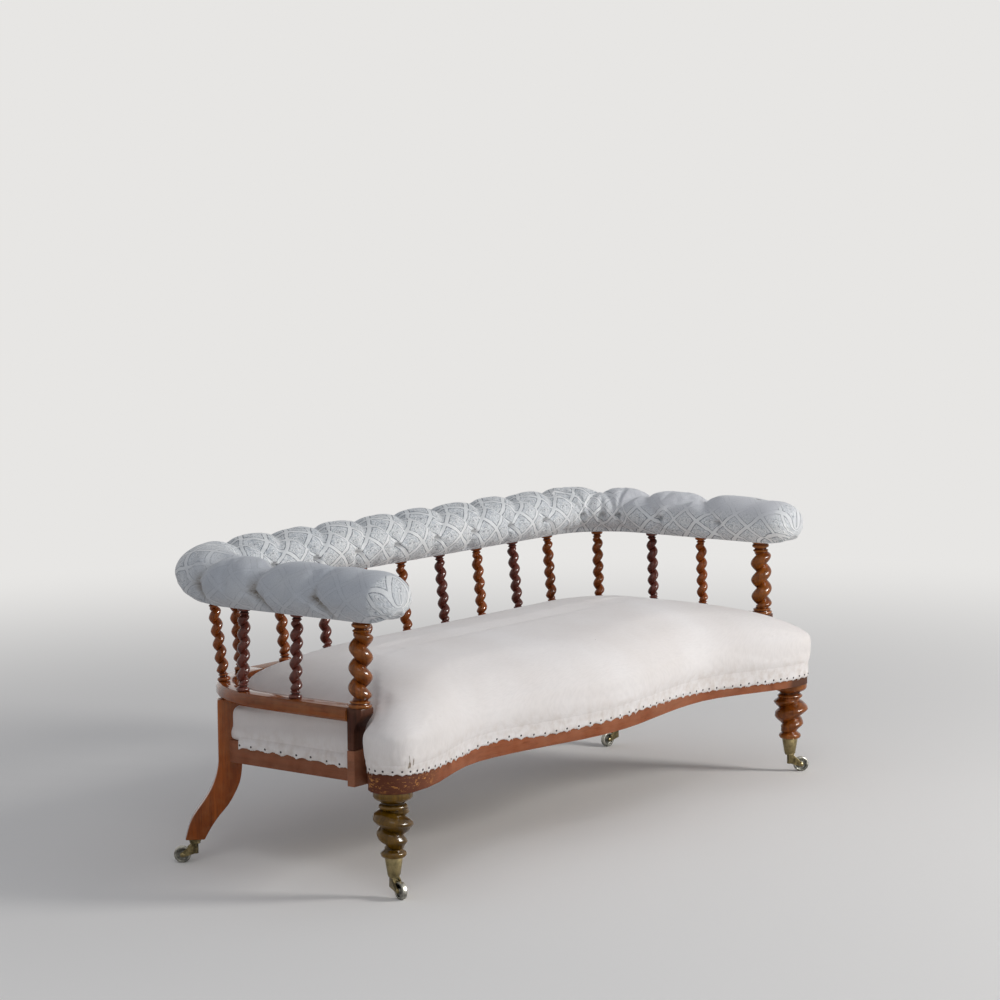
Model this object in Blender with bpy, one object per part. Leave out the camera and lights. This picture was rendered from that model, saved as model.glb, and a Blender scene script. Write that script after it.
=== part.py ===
"""Low open-backed salon sofa on four brass castors.

A serpentine-fronted sprung seat stands on two twist-turned front legs and two
sabre back legs.  A show-wood rail runs round the ends and the back, and
barley-twist spindles stand on it and carry a padded, tufted roll.
Metres, +Z up, the front faces -Y.  The plan is drawn from the line through
the two front legs, and the whole is then centred over its own floor plan.
"""
import bpy
import bmesh
from math import atan2, ceil, cos, floor, hypot, pi, radians, sin, sqrt
from mathutils import Matrix, Vector

# Fits and overruns
GAP = 0.0003
OVERRUN = 0.004

# Seat frame. What stands on it or beside it takes its place from these sizes.
SEAT_SIDE_X = 0.790
SEAT_BACK_Y = 0.600
SEAT_CORNER_RADIUS = 0.130
RAIL_BOTTOM = 0.235
RAIL_HEIGHT = 0.050
RAIL_THICK = 0.030
EAR_X = SEAT_SIDE_X + 0.010
EAR_Y = 0.006
EAR_RADIUS = 0.055
FRONT_BOW = 0.012
FRONT_HOLLOW = 0.038
HOLLOW_X = 0.440
FRONT_RAIL_BACK = 0.078
FRONT_LEG_X = EAR_X + 0.009

# Stuffed seat
SEAT_CROWN = 0.474
# The crown falls away towards both ends of the sofa
FALL_START_X = 0.420
FALL_END_X = EAR_X
FALL_BASE = 0.360
FALL_SHARE = 0.40
FALL_POWER_SHARE = 1.4
SEAT_BULGE = 0.012
SEAT_SIDE_INSET = 0.003
EAR_BACK_INSET = 0.006
EAR_HOLD_SHARE = 0.06
# Where round the ear, as a share of its radius behind its centre, the bulge
# starts to tuck in behind, and how much of it is lost at the back
EAR_TUCK_START = 0.78
EAR_TUCK_SHARE = 0.85
EAR_CLEAR = 0.002
SEAT_SPINE_X = SEAT_SIDE_X - 0.290
SEAT_SPINE_Y = 0.290
SEAT_WALL_INSET = 0.036
SPRING_WELL_TOP = FALL_BASE
# The back corners reach under the spindle rail and tuck in inside it
SEAT_CORNER_CLEAR = 0.003
# For each ring of the seat: how far it lies in from its edge and how high it
# stands, as shares of the way to the spine and of the height from rail top to
# crown, then its shares of the front bulge and of the corner tuck.
SEAT_RING_SHARES = (
    (0.0, 0.0, 0.35, 0.0),
    (0.0, 0.14, 0.85, 0.0),
    (0.0, 0.30, 1.0, 0.0),
    (0.0, 0.42, 0.80, 0.0),
    (0.012, 0.475, 0.55, 1.0),
    (0.055, 0.62, 0.0, 0.8),
    (0.15, 0.77, 0.0, 0.3),
    (0.33, 0.89, 0.0, 0.0),
    (0.58, 0.965, 0.0, 0.0),
    (0.88, 1.0, 0.0, 0.0),
)

# Hessian, springs and webbing
HESSIAN_THICK = 0.002
HESSIAN_CLEAR = 0.006
WEB_WIDTH = 0.050
WEB_THICK = 0.0015
WEB_LAP = 0.020
WEB_SIDE_LAP = 0.012
WEB_CROSS_COUNT = 7
WEB_LONG_COUNT = 3
SPRING_COLUMNS = 4
SPRING_ROWS = 2
SPRING_END_RADIUS = 0.046
SPRING_WAIST_RADIUS = 0.030
SPRING_WIRE = 0.0020
SPRING_TURNS = 3
SPRING_STEPS = 8
SPRING_SIDES = 4
SPRING_FLAT_TURNS = 0.75
CORD_WIDTH = 0.003
CORD_STEP = 0.0004

# Spindle rail, measured to the centre line of the rail
SPINDLE_RAIL_X = SEAT_SIDE_X + 0.023
SPINDLE_RAIL_Y = SEAT_BACK_Y + 0.023
SPINDLE_RAIL_BOTTOM = 0.378
SPINDLE_RAIL_HEIGHT = 0.031
SPINDLE_RAIL_WIDTH = 0.050
SPINDLE_RAIL_CORNER = 0.250
CORNER_FOOT_OUT = 0.007
CORNER_STEPS = 8
RAIL_ROUND_SHARE = 0.22

# Padded roll and the rail inside it
ROLL_X = SPINDLE_RAIL_X - 0.010
ROLL_Y = SPINDLE_RAIL_Y + 0.020
ROLL_CORNER = 0.195
ROLL_BOTTOM = 0.600
BACK_ROLL_HEIGHT = 0.117
ARM_ROLL_HEIGHT = 0.109
ROLL_HALF_WIDTH = 0.080
ROLL_END_Y = 0.062
ROLL_TUFT_DEPTH = 0.009
ROLL_SECTION_POINTS = 11
ROLL_SECTION_SWEEP = radians(300)
ROLL_PUFF_STEPS = 4
ROLL_END_STEPS = 4
ROLL_TIP_SHARE = 0.2
ROLL_TIP_CENTRE = 0.040
ROLL_FLAT_HALF = 0.028
TOP_RAIL_WIDTH = 0.044
TOP_RAIL_HEIGHT = 0.016

# Uprights
POST_Y = EAR_Y + EAR_RADIUS + 0.027
END_SPINDLE_Y = 0.276
CORNER_START_Y = SPINDLE_RAIL_Y - SPINDLE_RAIL_CORNER + 0.061
CORNER_FOOT_TURN = radians(47)
CORNER_TOP_TURN = radians(42)
BACK_SPINDLES = 9
BACK_SPACING = (SEAT_SIDE_X - 0.178) / 4
SPINDLE_RADIUS = 0.0138
SPINDLE_TURNS = 5
SPINDLE_TURN_STEPS = 4
SPINDLE_SIDES = 5
POST_RADIUS = 0.0265
POST_TURNS = 3
POST_TURN_STEPS = 7
POST_SIDES = 8
CONSOLE_WIDTH = 0.042
CONSOLE_DEPTH = 0.0415
CONSOLE_FOOT_DEPTH = 0.018
CONSOLE_TOP_SHARE = 0.89
CONSOLE_FOOT_SHARE = 0.66

# Share of an upright's radius taken by the throw of the twist
TWIST_THROW_SHARE = 0.24
# Height along the upright and radius, as shares, of the plain turned ends
SPINDLE_FOOT_SHARES = ((0.0, 1.08), (0.035, 1.08), (0.06, 0.62))
SPINDLE_CAP_SHARES = ((0.94, 0.62), (0.965, 1.08), (1.0, 1.08))
POST_FOOT_SHARES = ((0.0, 0.90), (0.055, 0.98), (0.09, 0.60))
POST_CAP_SHARES = ((0.88, 0.60), (0.93, 0.94), (0.965, 0.80), (1.0, 0.86))

# Front legs
FRONT_LEG_RADIUS = 0.046
FRONT_LEG_PITCH = 0.045
FRONT_LEG_THROW = 0.0095
FRONT_LEG_SIDES = 12
FRONT_LEG_STEPS = 7
# Height from the ferrule's lip to the rail, and radius, as shares
FRONT_LEG_RING_SHARES = (
    (0.0, 0.45), (0.02, 0.60), (0.065, 0.62), (0.10, 0.48),
)
FRONT_LEG_TWIST_SHARES = ((0.14, 0.44), (0.34, 0.54), (0.62, 0.80), (0.78, 0.60))
FRONT_LEG_COLLAR_SHARES = ((0.84, 0.58), (0.92, 0.95), (1.0, 0.98))
FRONT_LEG_TENON_GAP = 0.0006
# How fast the twist reaches its full throw from either end
LEG_EASE = 5
# Direction of the fattest turn of each front leg and its height share
LEFT_LEG_PHASE = radians(127.7)
RIGHT_LEG_PHASE = radians(-52.3)
LEFT_PHASE_SHARE = 0.63
RIGHT_PHASE_SHARE = 0.56

# Back legs, set cornerwise; the sweep runs outward along the leg's own plane
REAR_LEG_X = SEAT_SIDE_X - 0.019
REAR_LEG_Y = SEAT_BACK_Y - 0.085
REAR_LEG_TURN = radians(45)
REAR_LEG_SWEEP = 0.0835
# Where the side and back rails stop inside the back leg, as shares of its turn
SIDE_RAIL_END_SHARE = 0.44
BACK_RAIL_START_SHARE = 0.50
REAR_LEG_DEPTH = 0.054
REAR_LEG_WIDTH = 0.040
REAR_LEG_FOOT_WIDTH = 0.030
# Height below the rail, sweep and level depth of the leg, as shares
REAR_LEG_SHARES = (
    (1.0, 0.0, 1.0), (0.86, 0.035, 1.04), (0.73, 0.108, 1.09), (0.585, 0.256, 1.12),
    (0.44, 0.455, 1.16), (0.30, 0.690, 1.10), (0.155, 0.862, 0.96), (0.0, 1.0, 0.82),
)

# Castors
FERRULE_BOTTOM = 0.048
FERRULE_TOP = 0.088
FERRULE_TOP_RADIUS = 0.0205
FERRULE_BOTTOM_RADIUS = 0.0140
FERRULE_WALL = 0.0030
FERRULE_FLOOR = 0.014
FERRULE_SIDES = 12
REAR_PLATE_RADIUS = 0.0165
REAR_PLATE_THICK = 0.0060
PIN_RADIUS = 0.0040
PIN_LENGTH = 0.0050
PIN_CLEAR = 0.0004
WHEEL_RADIUS = 0.0195
WHEEL_WIDTH = 0.012
WHEEL_CHAMFER = 0.0015
WHEEL_RIM = 0.0055
WHEEL_WEB = 0.0040
WHEEL_HUB_RADIUS = 0.0055
WHEEL_SIDES = 16
CASTOR_TRAIL = 0.029
AXLE_RADIUS = 0.0025
AXLE_HEAD = 0.0040
AXLE_HEAD_HEIGHT = 0.0012
AXLE_CLEAR = 0.0003
HORN_ARM_THICK = 0.0030
HORN_SIDE_CLEAR = 0.0010
HORN_BARREL_RADIUS = 0.0075
HORN_FLANGE_RADIUS = 0.0125
HORN_FLANGE_THICK = 0.0030
HORN_BARREL_BOTTOM = 0.0210
HORN_CHEEK_BOTTOM = 0.0230
HORN_YOKE_BOTTOM = 0.0245
HORN_CHEEK_TOP_REACH = 0.0052
HORN_EYE_RADIUS = 0.0060
HORN_SIDES = 10
# Compass direction in which each castor trails at rest
CASTOR_TRAIL_TURNS = {
    "front_left": radians(-110),
    "front_right": radians(-48),
    "rear_left": radians(132),
    "rear_right": radians(168),
}

RAIL_TOP = RAIL_BOTTOM + RAIL_HEIGHT
SPINDLE_RAIL_TOP = SPINDLE_RAIL_BOTTOM + SPINDLE_RAIL_HEIGHT
BACK_HALF = BACK_SPACING * (BACK_SPINDLES - 1) / 2
POST_X = SEAT_SIDE_X + GAP + CONSOLE_WIDTH / 2
SIDES = (("left", -1), ("right", 1))


# Materials

def material(name, colour, roughness, metallic=0.0):
    mat = bpy.data.materials.new(name)
    mat.use_nodes = True
    shader = mat.node_tree.nodes["Principled BSDF"]
    shader.inputs["Base Color"].default_value = (*colour, 1.0)
    shader.inputs["Roughness"].default_value = roughness
    shader.inputs["Metallic"].default_value = metallic
    return mat


def make_materials():
    return {
        "polish": material("polished_walnut", (0.24, 0.085, 0.035), 0.25),
        "golden": material("golden_walnut", (0.30, 0.15, 0.035), 0.22),
        "frame": material("bare_frame_wood", (0.33, 0.15, 0.10), 0.75),
        "calico": material("calico", (0.80, 0.76, 0.74), 0.9),
        "damask": material("lattice_damask", (0.55, 0.60, 0.64), 0.8),
        "hessian": material("hessian", (0.40, 0.30, 0.18), 0.95),
        "webbing": material("jute_webbing", (0.45, 0.36, 0.22), 0.95),
        "steel": material("spring_steel", (0.30, 0.28, 0.26), 0.45, 1.0),
        "brass": material("aged_brass", (0.36, 0.28, 0.13), 0.35, 1.0),
        "wheel": material("dull_brass_wheel", (0.42, 0.40, 0.34), 0.40, 1.0),
    }


# Mesh helpers

def mesh_object(name, verts, faces, mat, smooth=True):
    mesh = bpy.data.meshes.new(name)
    mesh.from_pydata([tuple(v) for v in verts], [], faces)
    bm = bmesh.new()
    bm.from_mesh(mesh)
    bmesh.ops.recalc_face_normals(bm, faces=bm.faces)
    bm.to_mesh(mesh)
    bm.free()
    mesh.materials.append(mat)
    if smooth:
        mesh.shade_smooth()
        mesh.set_sharp_from_angle(angle=radians(40))
    obj = bpy.data.objects.new(name, mesh)
    bpy.context.scene.collection.objects.link(obj)
    return obj


def loft(rings, closed=False):
    """Faces between rings of equal length; open lofts get flat end caps."""
    count = len(rings[0])
    verts = [v for ring in rings for v in ring]
    faces = []
    spans = len(rings) if closed else len(rings) - 1
    for i in range(spans):
        a = i * count
        b = (i + 1) % len(rings) * count
        for j in range(count):
            k = (j + 1) % count
            faces.append((a + j, a + k, b + k, b + j))
    if not closed:
        faces.append(tuple(range(count)))
        faces.append(tuple(range(len(verts) - count, len(verts))))
    return verts, faces


def circle(centre, radius, height, sides, turn=0.0):
    return [Vector((centre[0] + radius * cos(turn + 2 * pi * k / sides),
                    centre[1] + radius * sin(turn + 2 * pi * k / sides),
                    height)) for k in range(sides)]


def lathe(profile, sides, turn=0.0, closed=False):
    """Turn a list of (radius, height) pairs about Z."""
    rings = [circle((0, 0), radius, height, sides, turn) for radius, height in profile]
    return loft(rings, closed)


def extrude(outline, bottom, top):
    return loft([[Vector((x, y, z)) for x, y in outline] for z in (bottom, top)])


def box(low, high):
    outline = ((low[0], low[1]), (high[0], low[1]), (high[0], high[1]), (low[0], high[1]))
    return extrude(outline, low[2], high[2])


def arc(centre, radius, start, end, steps):
    return [(centre[0] + radius * cos(start + (end - start) * k / steps),
             centre[1] + radius * sin(start + (end - start) * k / steps))
            for k in range(steps + 1)]


def cutter(name, verts, faces, mat):
    obj = mesh_object(name, verts, faces, mat, smooth=False)
    obj.hide_render = True
    obj.display_type = 'WIRE'
    return obj


def boolean(obj, other, operation):
    mod = obj.modifiers.new(operation.lower(), 'BOOLEAN')
    mod.operation = operation
    mod.solver = 'EXACT'
    mod.object = other


def group_mesh(name, pieces, mat, smooth=True):
    """One object from several separate closed solids."""
    verts = []
    faces = []
    for piece_verts, piece_faces in pieces:
        base = len(verts)
        verts.extend(piece_verts)
        faces.extend(tuple(base + i for i in face) for face in piece_faces)
    return mesh_object(name, verts, faces, mat, smooth)


def mirror_x(points):
    return [(-x, y) for x, y in points]


# Plan of the seat

def serpentine(x):
    """Front edge of the seat at x: bowed in the middle, hollow, then the ears."""
    x = abs(x)
    if x < HOLLOW_X:
        share = (1 - cos(pi * x / HOLLOW_X)) / 2
        return -FRONT_BOW + (FRONT_HOLLOW + FRONT_BOW) * share
    share = (1 - cos(pi * (x - HOLLOW_X) / (EAR_X - HOLLOW_X))) / 2
    return FRONT_HOLLOW - (FRONT_HOLLOW + EAR_RADIUS - EAR_Y) * share


def front_half():
    """Right half of the front edge, from the middle round the ear."""
    steps = 14
    line = [(EAR_X * k / steps, serpentine(EAR_X * k / steps)) for k in range(steps)]
    return line + arc((EAR_X, EAR_Y), EAR_RADIUS, -pi / 2, pi / 2, 8)


def corner_centre():
    return SEAT_SIDE_X - SEAT_CORNER_RADIUS, SEAT_BACK_Y - SEAT_CORNER_RADIUS


def seat_half():
    """Right half of the seat's edge: point, share of bulge and inset."""
    points = []
    for x, y in front_half():
        behind = (y - EAR_Y) / EAR_RADIUS if x > EAR_X - EAR_CLEAR else 0.0
        tucked = max(0.0, (behind - EAR_TUCK_START) / (1 - EAR_TUCK_START))
        points.append(((x, y), 1 - EAR_TUCK_SHARE * tucked, tucked * EAR_BACK_INSET))
    points.append(((SEAT_SIDE_X, EAR_Y + EAR_RADIUS), 0.0, SEAT_SIDE_INSET))
    centre = corner_centre()
    steps = 5
    start = FRONT_RAIL_BACK
    for k in range(steps):
        y = start + (centre[1] - start) * k / steps
        points.append(((SEAT_SIDE_X, y), 0.0, SEAT_SIDE_INSET))
    for p in arc(centre, SEAT_CORNER_RADIUS, 0, pi / 2, 6):
        points.append((p, 0.0, SEAT_SIDE_INSET))
    steps = 6
    for k in range(1, steps + 1):
        points.append(((centre[0] * (1 - k / steps), SEAT_BACK_Y), 0.0, SEAT_SIDE_INSET))
    return points


def seat_outline():
    """Whole edge, anticlockwise from the front middle."""
    half = seat_half()
    other = [((-x, y), share, inset) for (x, y), share, inset in half[1:-1]]
    return half + other[::-1]


def outline_normals(points):
    normals = []
    for k, _ in enumerate(points):
        before = points[k - 1]
        after = points[(k + 1) % len(points)]
        dx = after[0] - before[0]
        dy = after[1] - before[1]
        length = hypot(dx, dy)
        normals.append((dy / length, -dx / length))
    return normals


def rear_leg_frame(sign):
    turn = REAR_LEG_TURN if sign > 0 else pi - REAR_LEG_TURN
    return Vector((sign * REAR_LEG_X, REAR_LEG_Y, 0)), turn


def stile_cutter(name, sign, mat):
    """The back leg's stile, larger by one gap, for what it is housed in."""
    half_depth = REAR_LEG_DEPTH / 2 + GAP
    half_width = REAR_LEG_WIDTH / 2 + GAP
    obj = cutter(name, *box((-half_depth, -half_width, RAIL_BOTTOM - OVERRUN),
                            (half_depth, half_width, SPINDLE_RAIL_BOTTOM + OVERRUN)), mat)
    obj.location, obj.rotation_euler.z = rear_leg_frame(sign)
    return obj


# Seat frame

def front_seat_rail(mats):
    half = front_half() + [(SEAT_SIDE_X, FRONT_RAIL_BACK)]
    outline = mirror_x(half[1:])[::-1] + half
    return mesh_object("front_seat_rail", *extrude(outline, RAIL_BOTTOM, RAIL_TOP), mats["frame"])


def side_seat_rail(side, sign, mats, leg_cutter):
    centre = corner_centre()
    end = REAR_LEG_TURN
    outer = [(SEAT_SIDE_X, FRONT_RAIL_BACK + GAP)]
    outer += arc(centre, SEAT_CORNER_RADIUS, 0, end * SIDE_RAIL_END_SHARE, 3)
    inner = arc(centre, SEAT_CORNER_RADIUS - RAIL_THICK, end * SIDE_RAIL_END_SHARE, 0, 3)
    inner.append((SEAT_SIDE_X - RAIL_THICK, FRONT_RAIL_BACK + GAP))
    outline = [(sign * x, y) for x, y in outer + inner]
    rail = mesh_object(f"{side}_seat_rail", *extrude(outline, RAIL_BOTTOM, RAIL_TOP), mats["frame"])
    boolean(rail, leg_cutter, 'DIFFERENCE')
    return rail


def back_seat_rail(mats, leg_cutters):
    centre = corner_centre()
    start = REAR_LEG_TURN * BACK_RAIL_START_SHARE
    outer = arc(centre, SEAT_CORNER_RADIUS, start, pi / 2, 6)
    inner = arc(centre, SEAT_CORNER_RADIUS - RAIL_THICK, start, pi / 2, 6)
    outline = outer + mirror_x(outer)[::-1] + mirror_x(inner) + inner[::-1]
    rail = mesh_object("back_seat_rail", *extrude(outline, RAIL_BOTTOM, RAIL_TOP), mats["frame"])
    for leg_cutter in leg_cutters:
        boolean(rail, leg_cutter, 'DIFFERENCE')
    return rail


# Stuffed seat

def corner_tuck(x, y):
    """How far a point of the seat's edge lies outside the spindle rail's inner face."""
    across = abs(x) - (SPINDLE_RAIL_X - SPINDLE_RAIL_CORNER)
    behind = y - (SPINDLE_RAIL_Y - SPINDLE_RAIL_CORNER)
    if across <= 0 or behind <= 0:
        return 0.0
    inner = SPINDLE_RAIL_CORNER - SPINDLE_RAIL_WIDTH / 2 - SEAT_CORNER_CLEAR
    return max(0.0, hypot(across, behind) - inner)


def seat_ring(outline, normals, inward_share, height, bulge_share, tuck_share=0.0, inset=0.0):
    """One ring of the seat: the edge moved towards the spine, and bulged."""
    ring = []
    for ((x, y), front, own_inset), (nx, ny) in zip(outline, normals):
        out = front * bulge_share * SEAT_BULGE - own_inset - inset
        out -= tuck_share * corner_tuck(x, y)
        px = x + nx * out
        py = y + ny * out
        spine_x = max(-SEAT_SPINE_X, min(SEAT_SPINE_X, px))
        back_share = inward_share
        if y > EAR_Y and abs(x) > SEAT_SIDE_X - EAR_CLEAR and y < FRONT_RAIL_BACK - EAR_CLEAR:
            back_share = max(0.0, inward_share - EAR_HOLD_SHARE) / (1 - EAR_HOLD_SHARE)
        px += (spine_x - px) * inward_share
        py += (SEAT_SPINE_Y - py) * back_share
        ring.append(Vector((px, py, fallen(px, height))))
    return ring


def fallen(x, height):
    """Height on the seat after the fall of its crown towards the ends."""
    share = max(0.0, abs(x) - FALL_START_X) / (FALL_END_X - FALL_START_X)
    drop = FALL_SHARE * share ** FALL_POWER_SHARE
    return height - max(0.0, height - FALL_BASE) * drop


def seat_stuffing(mats, leg_cutters):
    outline = seat_outline()
    normals = outline_normals([entry[0] for entry in outline])
    base = RAIL_TOP + GAP
    rise = SEAT_CROWN - base
    rings = [seat_ring(outline, normals, inward, base + rise * up, bulge, tuck)
             for inward, up, bulge, tuck in SEAT_RING_SHARES]
    well = [seat_ring(outline, normals, 0.0, height, 0.0, 0.0, SEAT_WALL_INSET)
            for height in (SPRING_WELL_TOP, base)]
    seat = mesh_object("seat_stuffing", *loft(well + rings), mats["calico"])
    for leg_cutter in leg_cutters:
        boolean(seat, leg_cutter, 'DIFFERENCE')
    return seat


def seat_hessian(mats):
    outline = seat_outline()
    normals = outline_normals([entry[0] for entry in outline])
    inset = SEAT_WALL_INSET + HESSIAN_CLEAR
    top = SPRING_WELL_TOP - GAP
    rings = [seat_ring(outline, normals, 0.0, height, 0.0, 0.0, inset)
             for height in (top - HESSIAN_THICK, top)]
    return mesh_object("seat_hessian", *loft(rings), mats["hessian"], smooth=False)


def spring_points(x, y, bottom, top):
    """Hourglass coil whose end turns lie flat."""
    points = []
    steps = SPRING_TURNS * SPRING_STEPS
    for k in range(steps + 1):
        waist = cos(pi * (2 * k / steps - 1) / 2)
        radius = SPRING_END_RADIUS - (SPRING_END_RADIUS - SPRING_WAIST_RADIUS) * waist
        angle = 2 * pi * k / SPRING_STEPS
        turn = k / SPRING_STEPS - SPRING_FLAT_TURNS
        rise = max(0.0, min(1.0, turn / (SPRING_TURNS - 2 * SPRING_FLAT_TURNS)))
        points.append(Vector((x + radius * cos(angle), y + radius * sin(angle),
                              bottom + (top - bottom) * rise)))
    return points


def wire(points, radius, sides):
    """A wire of flat-sided section along the points, closed at both ends."""
    rings = []
    for k, point in enumerate(points):
        ahead = points[min(k + 1, len(points) - 1)]
        behind = points[max(k - 1, 0)]
        along = (ahead - behind).normalized()
        across = along.cross(Vector((0, 0, 1))).normalized()
        up = across.cross(along)
        rings.append([point + across * radius * cos(2 * pi * j / sides)
                      + up * radius * sin(2 * pi * j / sides) for j in range(sides)])
    return loft(rings)


def seat_springs(mats):
    """Coil springs, tied across their tops by lashing cords into one unit."""
    bottom = RAIL_BOTTOM + SPRING_WIRE
    top = SPRING_WELL_TOP - HESSIAN_THICK - 2 * GAP - SPRING_WIRE
    places = [[spring_place(row, column) for column in range(SPRING_COLUMNS)]
              for row in range(SPRING_ROWS)]
    coils = [wire(spring_points(x, y, bottom, top), SPRING_WIRE, SPRING_SIDES)
             for row in places for x, y in row]
    springs = group_mesh("seat_springs", coils, mats["steel"])
    half = CORD_WIDTH / 2
    reach = SPRING_END_RADIUS + CORD_WIDTH
    low = top - half
    long_cords = [box((row[0][0] - reach, row[0][1] - half, low),
                      (row[-1][0] + reach, row[0][1] + half, low + CORD_WIDTH)) for row in places]
    low += CORD_STEP
    cross_cords = [box((first[0] - half, first[1] - reach, low),
                       (first[0] + half, last[1] + reach, low + CORD_WIDTH))
                   for first, last in zip(places[0], places[-1])]
    for label, cords in (("long_cords", long_cords), ("cross_cords", cross_cords)):
        tool = group_mesh(label, cords, mats["webbing"], smooth=False)
        tool.hide_render = True
        tool.display_type = 'WIRE'
        boolean(springs, tool, 'UNION')


def spring_place(row, column):
    strips = web_strips(WEB_CROSS_COUNT, SEAT_SIDE_X - RAIL_THICK)
    x = strips[column * (WEB_CROSS_COUNT - 1) // (SPRING_COLUMNS - 1)] if SPRING_COLUMNS > 1 else 0.0
    well = SEAT_BACK_Y - RAIL_THICK - FRONT_RAIL_BACK
    y = FRONT_RAIL_BACK + well * (row + 1) / (SPRING_ROWS + 1)
    return x, y


def web_strips(count, half_span):
    """Centres of evenly spaced strips across a span."""
    pitch = 2 * half_span / (count + 1)
    return [-half_span + pitch * (k + 1) for k in range(count)]


def seat_webbing(mats):
    """Jute strips tacked under the rails, pressed together where they cross."""
    top = RAIL_BOTTOM - GAP
    half = SEAT_SIDE_X - RAIL_THICK
    front = FRONT_RAIL_BACK
    back = SEAT_BACK_Y - RAIL_THICK
    cross = [box((x - WEB_WIDTH / 2, front - WEB_LAP, top - WEB_THICK),
                 (x + WEB_WIDTH / 2, back + WEB_LAP, top))
             for x in web_strips(WEB_CROSS_COUNT, half)]
    webbing = group_mesh("seat_webbing", cross, mats["webbing"], smooth=False)
    middle = (front + back) / 2
    drop = WEB_THICK / 2
    reach = half + WEB_SIDE_LAP
    along = [box((-reach, middle + y - WEB_WIDTH / 2, top - WEB_THICK - drop),
                 (reach, middle + y + WEB_WIDTH / 2, top - drop))
             for y in web_strips(WEB_LONG_COUNT, (back - front) / 2)]
    tool = group_mesh("long_strips", along, mats["webbing"], smooth=False)
    tool.hide_render = True
    tool.display_type = 'WIRE'
    boolean(webbing, tool, 'UNION')


# Rails and roll that follow the U-shaped plan

def u_path(side_x, back_y, radius, start_y, part):
    """Points of a U-shaped plan with outward directions: a side, corner or back."""
    centre_x = side_x - radius
    centre_y = back_y - radius
    if part == "side":
        return [((side_x, start_y), (1, 0)), ((side_x, centre_y), (1, 0))]
    if part == "corner":
        return [((centre_x + radius * cos(a), centre_y + radius * sin(a)),
                 (cos(a), sin(a)))
                for a in (pi / 2 * k / CORNER_STEPS for k in range(CORNER_STEPS + 1))]
    return [((centre_x, back_y), (0, 1)), ((-centre_x, back_y), (0, 1))]


def resample(path, steps):
    (start, out), (end, _) = path
    return [((start[0] + (end[0] - start[0]) * k / steps,
              start[1] + (end[1] - start[1]) * k / steps), out) for k in range(steps + 1)]


def sweep(path, section, sign=1):
    """Loft a section of (outward, height) pairs along a path."""
    rings = []
    for (x, y), (ox, oy) in path:
        rings.append([Vector((sign * (x + ox * u), y + oy * u, z)) for u, z in section])
    return loft(rings)


def rail_section(width, bottom, height):
    half = width / 2
    round_over = height * RAIL_ROUND_SHARE
    top = bottom + height
    return [(-half, bottom), (half - round_over, bottom), (half, bottom + round_over),
            (half, top - round_over), (half - round_over, top), (-half, top)]


def spindle_rails(mats):
    section = rail_section(SPINDLE_RAIL_WIDTH, SPINDLE_RAIL_BOTTOM, SPINDLE_RAIL_HEIGHT)
    start = POST_Y + CONSOLE_DEPTH / 2 + GAP
    plan = (SPINDLE_RAIL_X, SPINDLE_RAIL_Y, SPINDLE_RAIL_CORNER)
    for side, sign in SIDES:
        path = u_path(*plan, start, "side")[:1] + u_path(*plan, start, "corner")
        mesh_object(f"{side}_spindle_rail", *sweep(path, section, sign), mats["polish"])
    back = u_path(*plan, start, "back")
    mesh_object("back_spindle_rail", *sweep(shorten(back), section), mats["polish"])


def shorten(path):
    """Take one gap off each end of a straight back path."""
    (start, out), (end, _) = path
    return [((start[0] - GAP, start[1]), out), ((end[0] + GAP, end[1]), out)]


def top_rails(mats):
    half = TOP_RAIL_WIDTH / 2
    top = ROLL_BOTTOM + TOP_RAIL_HEIGHT
    section = [(-half, ROLL_BOTTOM), (half, ROLL_BOTTOM), (half, top), (-half, top)]
    plan = (ROLL_X, ROLL_Y, ROLL_CORNER)
    for side, sign in SIDES:
        path = u_path(*plan, ROLL_END_Y + GAP, "side")[:1] + u_path(*plan, ROLL_END_Y, "corner")
        mesh_object(f"{side}_top_rail", *sweep(path, section, sign), mats["frame"])
    back = u_path(*plan, ROLL_END_Y, "back")
    mesh_object("back_top_rail", *sweep(shorten(back), section), mats["frame"])


def roll_section(tuft, height, scale=1.0):
    """Section of the roll, drawn in by tuft, with a channel for its rail."""
    half_height = height / 2
    start = -(ROLL_SECTION_SWEEP - pi) / 2
    points = []
    for k in range(ROLL_SECTION_POINTS):
        angle = start + ROLL_SECTION_SWEEP * k / (ROLL_SECTION_POINTS - 1)
        u = (ROLL_HALF_WIDTH - tuft) * cos(angle)
        z = half_height + (half_height - tuft) * sin(angle)
        if k in (0, ROLL_SECTION_POINTS - 1):
            z = 0.0
            u = ROLL_FLAT_HALF if k == 0 else -ROLL_FLAT_HALF
        points.append((u, z))
    channel = TOP_RAIL_WIDTH / 2 + GAP
    deep = TOP_RAIL_HEIGHT + GAP
    points += [(-channel, 0.0), (-channel, deep), (channel, deep), (channel, 0.0)]
    return [(u * scale, ROLL_BOTTOM + ROLL_TIP_CENTRE + (z - ROLL_TIP_CENTRE) * scale)
            for u, z in points]


def tuft_depth(share):
    """How far the roll is drawn in at a share of the way between two uprights."""
    fall = 2 * share - 1
    return ROLL_TUFT_DEPTH * (1 - sqrt(1 - fall * fall))


def roll_rings(path, tufts, heights, sign):
    rings = []
    for ((x, y), (ox, oy)), tuft, height in zip(path, tufts, heights):
        rings.append([Vector((sign * (x + ox * u), y + oy * u, z))
                      for u, z in roll_section(tuft, height)])
    return rings


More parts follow.
